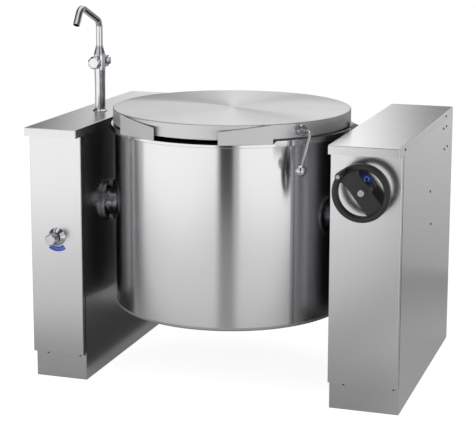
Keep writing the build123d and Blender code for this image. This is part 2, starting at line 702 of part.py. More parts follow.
# ------------------------------------------------------------------ trunnions
def trunnion(side, end, bored):
    """A shaft on a saddle that is welded to the jacket, inside the insulation."""
    outer = CLAD_RADIUS - CLAD_SHEET - CURVED_SEAT
    band = at_kettle(rod_z(outer, 0, 0, (JACKET_TOP, POT_BOTTOM)))
    core = at_kettle(rod_z(JACKET_OUTER + CURVED_SEAT, 0, 0, (JACKET_TOP, POT_BOTTOM)))
    body = rod_x(SADDLE_RADIUS, (0, side * CLAD_RADIUS), AXIS_Y, AXIS_Z) & band
    body += rod_x(SHAFT_RADIUS, (0, end), AXIS_Y, AXIS_Z)
    body -= core
    if bored:
        body -= rod_x(SHAFT_BORE, (0, end), AXIS_Y, AXIS_Z)
    return body


def right_trunnion():
    """The solid right shaft, with the keyway of the worm wheel."""
    return trunnion(1, RIGHT_SHAFT_END, False) - wheel_key(RUNNING)


def siphon_tube():
    """The tube that lifts condensate from the jacket out through the left shaft."""
    gap_middle = POT_OUTER + JACKET_GAP / 2
    drop_x = -sqrt(gap_middle ** 2 - KETTLE_OFFSET ** 2)
    knuckle_top = POT_BOTTOM + POT_CROWN
    knuckle_top -= sqrt((POT_CROWN - POT_KNUCKLE) ** 2 - (POT_RADIUS - POT_KNUCKLE) ** 2)
    start = rotary_limits()[2] - ROTARY_WALL / 2
    points = [(start, AXIS_Y, AXIS_Z), (drop_x, AXIS_Y, AXIS_Z), (drop_x, AXIS_Y, knuckle_top)]
    body = pipe(points, SIPHON_RADIUS * 1.5, SIPHON_RADIUS, SIPHON_WALL)
    collar_x = (-JACKET_OUTER - 2 * SHAFT_BORE, -JACKET_OUTER - 1.6 * SHAFT_BORE)
    collar = rod_x(SHAFT_BORE - RUNNING, collar_x, AXIS_Y, AXIS_Z)
    collar -= rod_x(SIPHON_RADIUS - SIPHON_WALL / 2, collar_x, AXIS_Y, AXIS_Z)
    passage = (SHAFT_BORE + SIPHON_RADIUS) / 2
    for k in range(3):
        angle = radians(120 * k)
        y = AXIS_Y + passage * cos(angle)
        collar -= rod_x((SHAFT_BORE - SIPHON_RADIUS) / 3, collar_x, y, AXIS_Z + passage * sin(angle))
    return body + collar


# ------------------------------------------------------------------ lid
def lid_skin():
    """The flat lid with its straight skirt, one pressed sheet."""
    low = LID_TOP - LID_SKIRT
    body = rod_z(LID_RADIUS, 0, 0, (low, LID_TOP))
    body = fillet(body.edges().sort_by(Axis.Z)[-1], LID_EDGE)
    return at_kettle(body - rod_z(LID_RADIUS - LID_SHEET, 0, 0, (low, LID_TOP - LID_SHEET)))


def lid_pan():
    """The inner pan that stiffens the lid and faces the food."""
    outer = LID_RADIUS - LID_SHEET - CURVED_SEAT
    low = LID_TOP - LID_SKIRT + LID_PAN_RISE
    body = rod_z(outer, 0, 0, (low, LID_TOP - LID_SHEET))
    return at_kettle(body - rod_z(outer - LID_SHEET, 0, 0, (low + LID_SHEET, LID_TOP - LID_SHEET)))


def lid_seal():
    """The ring of food-grade rubber under the inner pan."""
    height = (RIM_TOP + CURVED_SEAT, LID_TOP - LID_SKIRT + LID_PAN_RISE)
    body = rod_z(SEAL_RADIUS, 0, 0, height) - rod_z(SEAL_RADIUS - SEAL_WIDTH, 0, 0, height)
    return at_kettle(body)


def hinge_bracket():
    """The bracket behind the rim, with two ears for the hinge pin."""
    half = HINGE_ARM_WIDTH / 2 + HINGE_EAR_GAP
    outer = half + HINGE_EAR
    rear = HINGE_Y + HINGE_KNUCKLE
    body = block((-outer, outer), (KETTLE_Y + RIM_RADIUS / 2, rear), (RIM_BOTTOM, RIM_TOP))
    for side in (-1, 1):
        x = (side * half, side * outer)
        body += block(x, (HINGE_Y - HINGE_KNUCKLE, rear), (RIM_BOTTOM, HINGE_Z))
        body += rod_x(HINGE_KNUCKLE, x, HINGE_Y, HINGE_Z)
    body -= at_kettle(rod_z(RIM_RADIUS + CURVED_SEAT, 0, 0, (RIM_BOTTOM - 1, HINGE_Z + HINGE_KNUCKLE)))
    return body - rod_x(HINGE_PIN_RADIUS + RUNNING, (-outer, outer), HINGE_Y, HINGE_Z)


def hinge_pin():
    """The pin through the ears and the lid arm, with a head at its left end."""
    outer = HINGE_ARM_WIDTH / 2 + HINGE_EAR_GAP + HINGE_EAR
    body = rod_x(HINGE_PIN_RADIUS, (-outer, outer), HINGE_Y, HINGE_Z)
    return body + rod_x(1.5 * HINGE_PIN_RADIUS, (-outer - HINGE_PIN_HEAD, -outer), HINGE_Y, HINGE_Z)


def hinge_arm():
    """The arm from the lid skirt to a knuckle round the hinge pin."""
    half = HINGE_ARM_WIDTH / 2
    low = HINGE_Z - HINGE_KNUCKLE / 2
    body = block((-half, half), (KETTLE_Y + LID_RADIUS / 2, HINGE_Y), (low, HINGE_Z + HINGE_KNUCKLE))
    body += rod_x(HINGE_KNUCKLE, (-half, half), HINGE_Y, HINGE_Z)
    lid = rod_z(LID_RADIUS + CURVED_SEAT, 0, 0, (low - 1, HINGE_Z + HINGE_KNUCKLE + 1))
    return body - at_kettle(lid) - rod_x(HINGE_PIN_RADIUS + RUNNING, (-half, half), HINGE_Y, HINGE_Z)


# ------------------------------------------------------------------ lid lever
def lever_plane(distance):
    """A plane square to the lever's axle, at a distance from the kettle's axis."""
    angle = radians(LEVER_ANGLE)
    out = Vector(sin(angle), -cos(angle), 0)
    origin = out * distance + Vector(0, KETTLE_Y, LEVER_Z)
    return Plane(origin=origin, x_dir=(cos(angle), sin(angle), 0), z_dir=out)


def lever_boss():
    """The round boss on the lid skirt that carries the lever's axle."""
    start = LID_RADIUS - LEVER_BOSS_RADIUS / 2
    body = extrude(lever_plane(start) * Circle(LEVER_BOSS_RADIUS), LID_RADIUS + LEVER_BOSS_LENGTH - start)
    body = chamfer(body.edges().filter_by(GeomType.CIRCLE).sort_by(Axis.X)[-1], LEVER_BOSS_CHAMFER)
    body -= extrude(lever_plane(start) * Circle(LEVER_ROD_RADIUS + RUNNING), LEVER_BOSS_LENGTH * 3)
    return body - at_kettle(rod_z(LID_RADIUS + CURVED_SEAT, 0, 0, (LID_TOP - LID_SKIRT, LID_TOP)))


def lever_end():
    """The place of the ball at the free end of the lever."""
    plane = lever_plane(LEVER_REACH)
    lean = radians(LEVER_LEAN)
    return plane.from_local_coords(Vector(-LEVER_DROP * sin(lean), lever_down() * LEVER_DROP * cos(lean), 0))


def lever_down():
    """The sign of the lever plane's own Y that points to the floor."""
    plane = lever_plane(0)
    return -1 if plane.y_dir.Z > 0 else 1


def lever_rod():
    """The axle and the hanging rod, bent from one bar."""
    start = lever_plane(LID_RADIUS + 2 * CURVED_SEAT).origin
    corner = lever_plane(LEVER_REACH).origin
    end = corner + (lever_end() - corner) * (1 - LEVER_BALL_RADIUS / 2 / LEVER_DROP)
    path = FilletPolyline(start, corner, end, radius=LEVER_BEND)
    section = Plane(origin=path @ 0, z_dir=path % 0) * Circle(LEVER_ROD_RADIUS)
    return sweep(section, path=path)


def lever_ball():
    """The ball knob, turned with a blind bore for the rod."""
    bore = LEVER_ROD_RADIUS + RUNNING
    mouth = sqrt(LEVER_BALL_RADIUS ** 2 - bore ** 2)
    seat = LEVER_BALL_RADIUS / 2 - SMALL_GAP
    skin = ThreePointArc((0, 0, -LEVER_BALL_RADIUS), (LEVER_BALL_RADIUS, 0, 0), (bore, 0, mouth))
    hole = Polyline((bore, 0, mouth), (bore, 0, seat), (0, 0, seat), (0, 0, -LEVER_BALL_RADIUS))
    ball = revolve(make_face(Curve() + [skin, hole]), Axis.Z)
    centre = lever_end()
    return Location(Plane(origin=centre, z_dir=lever_plane(LEVER_REACH).origin - centre)) * ball


# ------------------------------------------------------------------ worm drive
def tooth_half(height):
    """Half the thickness of a tooth or thread at a height above its pitch line."""
    return TOOTH_SHARE * THREAD_PITCH / 2 - height * tan(radians(PRESSURE_ANGLE))


def worm_wheel():
    """The wheel on the right shaft: straight teeth, a rim, a web with round holes and a hub."""
    tip = WHEEL_PITCH_RADIUS + MODULE
    root = WHEEL_PITCH_RADIUS - MODULE - TOOTH_ROOT_CLEARANCE
    outline = []
    for k in range(WHEEL_TEETH):
        middle = 2 * pi * (k + 0.5) / WHEEL_TEETH + pi / 2
        for radius, sign in ((root, -1), (tip, -1), (tip, 1), (root, 1)):
            angle = middle + sign * tooth_half(radius - WHEEL_PITCH_RADIUS) / radius
            outline.append((radius * cos(angle), radius * sin(angle)))
    face = Plane(origin=(WORM_X - WHEEL_FACE / 2, AXIS_Y, AXIS_Z), x_dir=(0, 1, 0), z_dir=(1, 0, 0))
    body = extrude(face * make_face(Polyline(*outline, close=True)), WHEEL_FACE)
    recess = root - WHEEL_RIM
    for side in (-1, 1):
        x = (WORM_X + side * WHEEL_WEB / 2, WORM_X + side * WHEEL_FACE)
        body -= rod_x(recess, x, AXIS_Y, AXIS_Z)
    hub = (WORM_X - WHEEL_HUB_LENGTH / 2, WORM_X + WHEEL_HUB_LENGTH / 2)
    body += rod_x(WHEEL_HUB_RADIUS, hub, AXIS_Y, AXIS_Z)
    circle = (WHEEL_HUB_RADIUS + recess) / 2
    for k in range(WHEEL_HOLES):
        angle = 2 * pi * k / WHEEL_HOLES
        y = AXIS_Y + circle * cos(angle)
        body -= rod_x(WHEEL_HOLE_RADIUS, hub, y, AXIS_Z + circle * sin(angle))
    return body - rod_x(SHAFT_RADIUS + RUNNING, hub, AXIS_Y, AXIS_Z) - wheel_key(RUNNING)


def wheel_key(growth=0.0):
    """The key between the right shaft and the worm wheel, or its seat when grown."""
    half = KEY_WIDTH / 2 + growth
    deep = AXIS_Z + SHAFT_RADIUS
    x = (WORM_X - WHEEL_HUB_LENGTH / 2, RIGHT_SHAFT_END if growth else WORM_X + WHEEL_HUB_LENGTH / 2)
    z = (deep - KEY_HEIGHT * 0.6 - growth, deep + KEY_HEIGHT * 0.4 + growth)
    return block(x, (AXIS_Y - half, AXIS_Y + half), z)


def worm_shaft():
    """The shaft from the rear pillow block to the handwheel, with the worm's thread on it."""
    root = WORM_PITCH_RADIUS - MODULE - TOOTH_ROOT_CLEARANCE
    height = WORM_THREAD_TURNS * THREAD_PITCH
    low = root - TOOTH_ROOT_CLEARANCE
    helix = Helix(THREAD_PITCH, height, WORM_PITCH_RADIUS)
    section = Plane(origin=helix @ 0, x_dir=(1, 0, 0), z_dir=helix % 0)
    rise, dip = MODULE, low - WORM_PITCH_RADIUS
    outline = [(dip, -tooth_half(dip)), (rise, -tooth_half(rise)), (rise, tooth_half(rise))]
    outline.append((dip, tooth_half(dip)))
    profile = section * make_face(Polyline(*outline, close=True))
    thread = Pos(0, 0, -height / 2) * sweep(profile, path=helix, is_frenet=True)
    body = Cylinder(root, height + THREAD_PITCH) + thread
    body = Pos(WORM_X, AXIS_Y, WORM_Z) * Rot(-90, 0, 0) * body
    rear = AXIS_Y + BEARING_POST_OFFSET + PILLOW_THICKNESS / 2 + SMALL_GAP
    front = WHEEL_RIM_BACK - HANDWHEEL_BAR - SMALL_GAP
    return body + rod_y(WORM_SHAFT_RADIUS, WORM_X, (front, rear), WORM_Z)


def pillow_block(y):
    """A block on a cross rail, rounded over the worm shaft and bored for it."""
    span = (y - PILLOW_THICKNESS / 2, y + PILLOW_THICKNESS / 2)
    foot = WORM_Z - PILLOW_BASE
    body = block((WORM_X - PILLOW_WIDTH / 2, WORM_X + PILLOW_WIDTH / 2), span, (foot, foot + PILLOW_FOOT))
    body += block((WORM_X - PILLOW_TOP, WORM_X + PILLOW_TOP), span, (foot, WORM_Z))
    body += rod_y(PILLOW_TOP, WORM_X, span, WORM_Z)
    return body - rod_y(WORM_SHAFT_RADIUS + RUNNING, WORM_X, span, WORM_Z)


def handwheel_bush():
    """The flanged bush that carries the worm shaft in the front panel."""
    inner = PANEL_FRONT + PANEL_RETURN
    body = rod_y(WORM_SHAFT_RADIUS * 1.5, WORM_X, (PANEL_FRONT, inner), WORM_Z)
    front = PANEL_FRONT - BUSH_FLANGE
    collar = rod_y(WORM_SHAFT_RADIUS * 2, WORM_X, (front, PANEL_FRONT), WORM_Z)
    body += chamfer(collar.edges().group_by(Axis.Y)[0], BUSH_FLANGE / 3)
    return body - rod_y(WORM_SHAFT_RADIUS + RUNNING, WORM_X, (front, inner), WORM_Z)


def right_front_panel():
    """The right panel, bored for the bush of the worm shaft."""
    sheet = (PANEL_FRONT - 1, PANEL_FRONT + SHEET + 1)
    return front_panel(RIGHT) - rod_y(WORM_SHAFT_RADIUS * 1.5 + HOLE_GAP, WORM_X, sheet, WORM_Z)


def left_front_panel():
    """The left panel, bored for the stem of the steam valve."""
    sheet = (PANEL_FRONT - 1, PANEL_FRONT + SHEET + 1)
    return front_panel(LEFT) - rod_y(STEM_RADIUS + PIPE_HOLE_GAP, KNOB_X, sheet, KNOB_Z)


# ------------------------------------------------------------------ handwheel
def handwheel():
    """The moulded wheel: a deep rounded rim, a hub and one broad flat bar that flares at the grip."""
    inner = HANDWHEEL_RADIUS - HANDWHEEL_RIM
    middle = HANDWHEEL_RADIUS - HANDWHEEL_RIM / 2
    half = HANDWHEEL_DEPTH / 2
    rim = Cylinder(HANDWHEEL_RADIUS, HANDWHEEL_DEPTH) - Cylinder(inner, HANDWHEEL_DEPTH)
    rim = fillet(rim.edges().filter_by(GeomType.CIRCLE), HANDWHEEL_RIM * 0.3)
    low = half - HANDWHEEL_BAR * 2
    bar_z = (low, low + HANDWHEEL_BAR)
    side = HANDWHEEL_BAR_WIDTH / 2
    bar = block((-middle, middle), (-side, side), bar_z)
    bar += block((inner - HANDWHEEL_FLARE, middle), (-side - HANDWHEEL_FLARE, side + HANDWHEEL_FLARE), bar_z)
    for sign in (-1, 1):
        bar -= rod_z(HANDWHEEL_FLARE, inner - HANDWHEEL_FLARE, sign * (side + HANDWHEEL_FLARE), bar_z)
    bar &= Cylinder(middle, HANDWHEEL_DEPTH)
    back = -half - HANDWHEEL_STANDOFF * 0.6
    hub = rod_z(HANDWHEEL_BOSS_RADIUS, 0, 0, (back, bar_z[1]))
    ring = rod_z(HANDWHEEL_HUB_RADIUS, 0, 0, (low, bar_z[1] + HANDWHEEL_RING))
    body = rim + bar + hub + ring
    body -= rod_z(WORM_SHAFT_RADIUS + RUNNING, 0, 0, (back - 1, 0))
    body -= rod_z(GRIP_PIN_RADIUS, 0, 0, (back - 1, half))
    body = Rot(0, 0, HANDWHEEL_TURN) * body
    body -= rod_z(GRIP_PIN_RADIUS + RUNNING, *grip_local(), (half - GRIP_PIN_DEPTH, half + 1))
    return handwheel_place() * body


def handwheel_place():
    """From the wheel's own frame, its front along +Z, to its place before the panel."""
    return Location(Plane(origin=(WORM_X, (WHEEL_RIM_BACK + WHEEL_RIM_FRONT) / 2, WORM_Z),
                          x_dir=(1, 0, 0), z_dir=(0, -1, 0)))


def grip_local():
    """The place of the grip in the wheel's own frame."""
    angle = radians(HANDWHEEL_TURN)
    return GRIP_CIRCLE * cos(angle), GRIP_CIRCLE * sin(angle)


def handwheel_cap():
    """The slotted screw that holds the wheel on its shaft."""
    half = HANDWHEEL_DEPTH / 2
    seat = half - HANDWHEEL_BAR + HANDWHEEL_RING
    head = rod_z(CAP_RADIUS, 0, 0, (seat, seat + CAP_HEIGHT))
    head = chamfer(head.edges().group_by(Axis.Z)[-1], CAP_SLOT_DEPTH)
    slot = Box(2 * CAP_RADIUS, CAP_SLOT, 2 * CAP_SLOT_DEPTH)
    head -= Pos(0, 0, seat + CAP_HEIGHT) * Rot(0, 0, CAP_SLOT_TURN) * slot
    return handwheel_place() * (head + rod_z(GRIP_PIN_RADIUS - RUNNING, 0, 0, (1, seat)))


def grip_pin():
    """The headed pin that the grip turns on, set in the wheel's rim."""
    x, y = grip_local()
    half = HANDWHEEL_DEPTH / 2
    top = half + GRIP_LENGTH + 2 * SMALL_GAP
    body = rod_z(GRIP_PIN_RADIUS, x, y, (half - GRIP_PIN_DEPTH, top))
    head = rod_z(GRIP_PIN_RADIUS * 1.4, x, y, (top, top + GRIP_PIN_HEAD))
    return handwheel_place() * (body + chamfer(head.edges().group_by(Axis.Z)[-1], 1))


def grip():
    """The loose sleeve that the hand holds, slightly waisted at both ends."""
    x, y = grip_local()
    low = HANDWHEEL_DEPTH / 2 + SMALL_GAP
    bore = GRIP_PIN_RADIUS + RUNNING
    shares = ((0.0, 0.80), (0.12, 0.96), (0.5, 1.0), (0.85, 0.96), (1.0, 0.84))
    outline = [(bore, low)]
    outline += [(GRIP_RADIUS * share, low + GRIP_LENGTH * step) for step, share in shares]
    outline.append((bore, low + GRIP_LENGTH))
    return handwheel_place() * Pos(x, y, 0) * turned(outline)


# ------------------------------------------------------------------ steam valve and its knob
def knob_escutcheon():
    """The conical collar on the panel, behind the steam knob."""
    bore = STEM_RADIUS + PIPE_HOLE_GAP
    outline = [(bore, 0), (ESCUTCHEON_RADIUS, 0), (ESCUTCHEON_RADIUS, ESCUTCHEON_EDGE)]
    outline += [(KNOB_RADIUS, ESCUTCHEON_HEIGHT), (bore, ESCUTCHEON_HEIGHT)]
    return panel_place() * turned(outline)


def panel_place():
    """From a frame with +Z out of the left panel to the steam knob's place on it."""
    return Location(Plane(origin=(KNOB_X, PANEL_FRONT, KNOB_Z), x_dir=(1, 0, 0), z_dir=(0, -1, 0)))


def steam_knob():
    """The fluted round knob with its stem, which reaches back into the valve."""
    low = KNOB_PROTRUSION - KNOB_LENGTH
    neck = KNOB_RADIUS * 0.7
    outline = [(0, low - KNOB_NECK), (neck, low - KNOB_NECK), (neck, low), (KNOB_RADIUS, low)]
    outline += [(KNOB_RADIUS, KNOB_PROTRUSION - KNOB_CHAMFER), (KNOB_RADIUS - KNOB_CHAMFER, KNOB_PROTRUSION)]
    outline.append((0, KNOB_PROTRUSION))
    body = turned(outline)
    circle = KNOB_RADIUS + KNOB_FLUTE_RADIUS / 3
    flute_z = (low + KNOB_CHAMFER, KNOB_PROTRUSION + 1)
    for k in range(KNOB_FLUTES):
        angle = 2 * pi * k / KNOB_FLUTES
        body -= rod_z(KNOB_FLUTE_RADIUS, circle * cos(angle), circle * sin(angle), flute_z)
    body += rod_z(STEM_RADIUS, 0, 0, (-VALVE_BEHIND_PANEL - VALVE_RADIUS, low))
    return panel_place() * body


def steam_valve():
    """The angle valve: a body, a bonnet for the stem and two ports."""
    front = -VALVE_BEHIND_PANEL
    rear = front - VALVE_LENGTH
    middle = (front + rear) / 2
    port = STEAM_PIPE_RADIUS - STEAM_PIPE_WALL
    body = rod_z(VALVE_RADIUS, 0, 0, (rear, front))
    body += Pos(0, 0, front) * extrude(RegularPolygon(VALVE_RADIUS * 0.8, 6), VALVE_BONNET)
    body += Pos(0, 0, middle) * rod_y(VALVE_RADIUS * 0.9, 0, (0, valve_port()), 0)
    body -= rod_z(STEM_RADIUS + RUNNING, 0, 0, (front - VALVE_RADIUS - 1, front + VALVE_BONNET + 1))
    body -= rod_z(port, 0, 0, (rear - 1, middle))
    body -= Pos(0, 0, middle) * rod_y(port, 0, (0, valve_port() + 1), 0)
    return panel_place() * body


def valve_port():
    """The height of the valve's upper port above its axis."""
    return VALVE_RADIUS + VALVE_PORT


# ------------------------------------------------------------------ steam and condensate pipes
def rotary_limits():
    """The x limits of the chambers of the rotary joint, from the shaft outwards."""
    start = LEFT_SHAFT_END - ROTARY_GAP
    chamber = start - ROTARY_STEAM_CHAMBER
    wall = chamber - ROTARY_WALL
    drain = wall - ROTARY_DRAIN_CHAMBER
    return start, chamber, chamber, wall, drain, drain - ROTARY_WALL


def rotary_joint():
    """The fixed head that feeds steam into the turning shaft and takes condensate back."""
    start, chamber, _, wall, drain, end = rotary_limits()
    body = rod_x(ROTARY_RADIUS, (start, end), AXIS_Y, AXIS_Z)
    body = chamfer(body.edges().group_by(Axis.X)[0], ROTARY_CHAMFER)
    nipple = (start, start + ROTARY_GAP + ROTARY_NIPPLE)
    body += rod_x(SHAFT_BORE - 2 * RUNNING, nipple, AXIS_Y, AXIS_Z)
    steam_x = (start + chamber) / 2
    drain_x = (wall + drain) / 2
    steam_bore = STEAM_PIPE_RADIUS - STEAM_PIPE_WALL
    drain_bore = CONDENSATE_PIPE_RADIUS - CONDENSATE_PIPE_WALL
    steam_y = (AXIS_Y, AXIS_Y - ROTARY_PORT_LENGTH)
    drain_y = (AXIS_Y, AXIS_Y + ROTARY_PORT_LENGTH)
    body += rod_y(STEAM_PIPE_RADIUS + ROTARY_PORT_WALL, steam_x, steam_y, AXIS_Z)
    body += rod_y(CONDENSATE_PIPE_RADIUS + ROTARY_PORT_WALL, drain_x, drain_y, AXIS_Z)
    body -= rod_x(SHAFT_BORE * 0.75, (nipple[1], chamber), AXIS_Y, AXIS_Z)
    body -= rod_x(SIPHON_RADIUS + RUNNING, (chamber, wall), AXIS_Y, AXIS_Z)
    body -= rod_x(SHAFT_BORE * 0.75, (wall, drain), AXIS_Y, AXIS_Z)
    body -= rod_y(steam_bore, steam_x, steam_y, AXIS_Z)
    return body - rod_y(drain_bore, drain_x, drain_y, AXIS_Z)


def with_end(piece, x, z, radius):
    """Turn down the end of a pipe behind the console, so that a union slides on against a shoulder."""
    end = (BACK, BACK + PIPE_STUB)
    return piece - (rod_y(radius + 1, x, end, z) - rod_y(radius - PIPE_END_CUT, x, end, z))


def valve_middle_y():
    """The y of the valve's upper port."""
    return PANEL_FRONT + VALVE_BEHIND_PANEL + VALVE_LENGTH / 2


def steam_supply_pipe():
    """The straight pipe from the back of the console to the valve."""
    start = PANEL_FRONT + VALVE_BEHIND_PANEL + VALVE_LENGTH
    points = [(KNOB_X, start, KNOB_Z), (KNOB_X, BACK + PIPE_STUB, KNOB_Z)]
    body = pipe(points, PIPE_BEND, STEAM_PIPE_RADIUS, STEAM_PIPE_WALL)
    return with_end(body, KNOB_X, KNOB_Z, STEAM_PIPE_RADIUS)


def steam_feed_pipe():
    """The bent pipe from the valve to the rotary joint."""
    start, chamber = rotary_limits()[:2]
    port_x = (start + chamber) / 2
    port_y = AXIS_Y - ROTARY_PORT_LENGTH
    points = [
        (KNOB_X, valve_middle_y(), KNOB_Z + valve_port()),
        (KNOB_X, valve_middle_y(), AXIS_Z),
        (port_x, port_y - 2 * PIPE_BEND, AXIS_Z),
        (port_x, port_y, AXIS_Z),
    ]
    return pipe(points, PIPE_BEND, STEAM_PIPE_RADIUS, STEAM_PIPE_WALL)


def condensate_pipe():
    """The drain from the rotary joint, down and out through the back of the console."""
    x = condensate_x()
    start = AXIS_Y + ROTARY_PORT_LENGTH
    fall = start + 6 * PIPE_BEND
    points = [(x, start, AXIS_Z), (x, fall, AXIS_Z), (x, fall, CONDENSATE_OUTLET_Z)]
    points.append((x, BACK + PIPE_STUB, CONDENSATE_OUTLET_Z))
    body = pipe(points, PIPE_BEND, CONDENSATE_PIPE_RADIUS, CONDENSATE_PIPE_WALL)
    return with_end(body, x, CONDENSATE_OUTLET_Z, CONDENSATE_PIPE_RADIUS)


def condensate_x():
    """The x of the condensate pipe."""
    _, _, _, wall, drain, _ = rotary_limits()
    return (wall + drain) / 2


def pipe_outlets():
    """The x, z and radius of each pipe that leaves through the back of the left console."""
    return [
        (KNOB_X, KNOB_Z, STEAM_PIPE_RADIUS),
        (condensate_x(), CONDENSATE_OUTLET_Z, CONDENSATE_PIPE_RADIUS),
        (TAP_X - WATER_PIPE_SPREAD, HOT_INLET_Z, WATER_PIPE_RADIUS),
        (TAP_X + WATER_PIPE_SPREAD, COLD_INLET_Z, WATER_PIPE_RADIUS),
    ]


# ------------------------------------------------------------------ mixer tap
def water_pipes():
    """The hot and the cold pipe, from the back of the console up to the tap."""
    top = CONSOLE_HEIGHT - TAP_SHANK
    pipes = []
    for side, z in ((-1, HOT_INLET_Z), (1, COLD_INLET_Z)):
        x = TAP_X + side * WATER_PIPE_SPREAD
        points = [(x, BACK + PIPE_STUB, z), (x, TAP_Y, z), (x, TAP_Y, top)]
        body = pipe(points, PIPE_BEND, WATER_PIPE_RADIUS, WATER_PIPE_WALL)
        pipes.append(with_end(body, x, z, WATER_PIPE_RADIUS))
    return pipes


def tap_base_ring():
    """The thin rose between the tap and the cover."""
    low = CONSOLE_HEIGHT
    bore = TAP_SHANK_RADIUS + CURVED_SEAT
    outline = [(bore, low), (TAP_BASE_RADIUS, low), (TAP_BASE_RADIUS, low + 2)]
    outline += [(TAP_COLUMN_RADIUS + 2, low + TAP_BASE_HEIGHT), (bore, low + TAP_BASE_HEIGHT)]
    return Pos(TAP_X, TAP_Y, 0) * turned(outline)


def shoulder(low, high, steps=5):
    """Half-section points on the smooth shoulder from the tap body in to the neck of the spout."""
    neck = SPOUT_RADIUS + SPOUT_NECK
    points = []
    for k in range(steps + 1):
        height = low + (high - low) * k / steps
        share = (height - SHOULDER_LOW) / (TAP_BODY_TOP - SHOULDER_LOW)
        points.append((neck + (TAP_BODY_RADIUS - neck) * (1 + cos(pi * share)) / 2, height))
    return points


def tap_column():
    """The tap body: shank, column, the slight swell that carries both knobs and the shoulder."""
    seat = CONSOLE_HEIGHT + TAP_BASE_HEIGHT
    top = TAP_BODY_TOP - SPOUT_COLLAR_HEIGHT
    outline = [
        (0, CONSOLE_HEIGHT - TAP_SHANK),
        (TAP_SHANK_RADIUS, CONSOLE_HEIGHT - TAP_SHANK),
        (TAP_SHANK_RADIUS, seat),
        (TAP_COLUMN_RADIUS, seat),
        (TAP_COLUMN_RADIUS, TAP_KNOB_Z - 2 * TAP_SWELL),
        (TAP_BODY_RADIUS, TAP_KNOB_Z - TAP_SWELL),
        *shoulder(SHOULDER_LOW, top),
        (0, top),
    ]
    body = turned(outline)
    for side in (-1, 1):
        body += rod_y(TAP_BOSS_RADIUS, 0, (0, side * TAP_KNOB_OFFSET), TAP_KNOB_Z)
        stem = (side * TAP_KNOB_OFFSET * 0.6, side * (TAP_KNOB_OFFSET + 1))
        body -= rod_y(STEM_RADIUS + RUNNING, 0, stem, TAP_KNOB_Z)
    body -= rod_z(SPOUT_RADIUS + RUNNING, 0, 0, (spout_seat(), top))
    body -= rod_z(SPOUT_RADIUS - SPOUT_WALL, 0, 0, (TAP_KNOB_Z - TAP_BOSS_RADIUS, top))
    return Pos(TAP_X, TAP_Y, 0) * body


def spout_seat():
    """The height of the lower end of the spout inside the tap body."""
    return TAP_BODY_TOP - 2 * SPOUT_COLLAR_HEIGHT


def tap_knob(side):
    """A fluted knob on one side of the tap, with the stem that enters the tap body."""
    near = TAP_KNOB_OFFSET + SMALL_GAP
    far = near + TAP_KNOB_LENGTH
    outline = [(0, near), (TAP_KNOB_RADIUS * 0.6, near), (TAP_KNOB_RADIUS, near + TAP_KNOB_EDGE)]
    outline += [(TAP_KNOB_RADIUS, far - TAP_KNOB_EDGE), (TAP_KNOB_RADIUS * 0.72, far), (0, far)]
    body = turned(outline)
    circle = TAP_KNOB_RADIUS + TAP_KNOB_FLUTE_RADIUS / 2
    for k in range(TAP_KNOB_FLUTES):
        angle = 2 * pi * k / TAP_KNOB_FLUTES
        place = circle * cos(angle), circle * sin(angle)
        body -= rod_z(TAP_KNOB_FLUTE_RADIUS, *place, (near - 1, far + 1))
    stem = (TAP_KNOB_OFFSET * 0.6 + SMALL_GAP, near + TAP_KNOB_EDGE)
    body += rod_z(STEM_RADIUS, 0, 0, stem)
    face = Plane(origin=(TAP_X, TAP_Y, TAP_KNOB_Z), x_dir=(1, 0, 0), z_dir=(0, side, 0))
    return Location(face) * body


def spout_collar():
    """The smooth tapered collar that holds the spout in the tap body."""
    low = TAP_BODY_TOP - SPOUT_COLLAR_HEIGHT
    bore = SPOUT_RADIUS + RUNNING
    outline = [(bore, low), *shoulder(low, TAP_BODY_TOP), (bore, TAP_BODY_TOP)]
    return Pos(TAP_X, TAP_Y, 0) * turned(outline)


def spout():
    """The bent tube of the spout, open at its outlet."""
    points = [
        (TAP_X, TAP_Y, spout_seat()),
        (TAP_X, TAP_Y, SPOUT_BEND_Z),
        (TAP_X, TAP_Y - SPOUT_ARM_REACH, SPOUT_APEX_Z),
        (TAP_X, TAP_Y - SPOUT_REACH, SPOUT_APEX_Z - SPOUT_FALL),
    ]
    return pipe(points, SPOUT_BEND, SPOUT_RADIUS, SPOUT_WALL)


def left_cover():
    """The left cover, bored for the tap."""
    hole = (CONSOLE_HEIGHT - SHEET - 1, CONSOLE_HEIGHT + 1)
    return cover(LEFT) - rod_z(TAP_SHANK_RADIUS + HOLE_GAP, TAP_X, TAP_Y, hole)


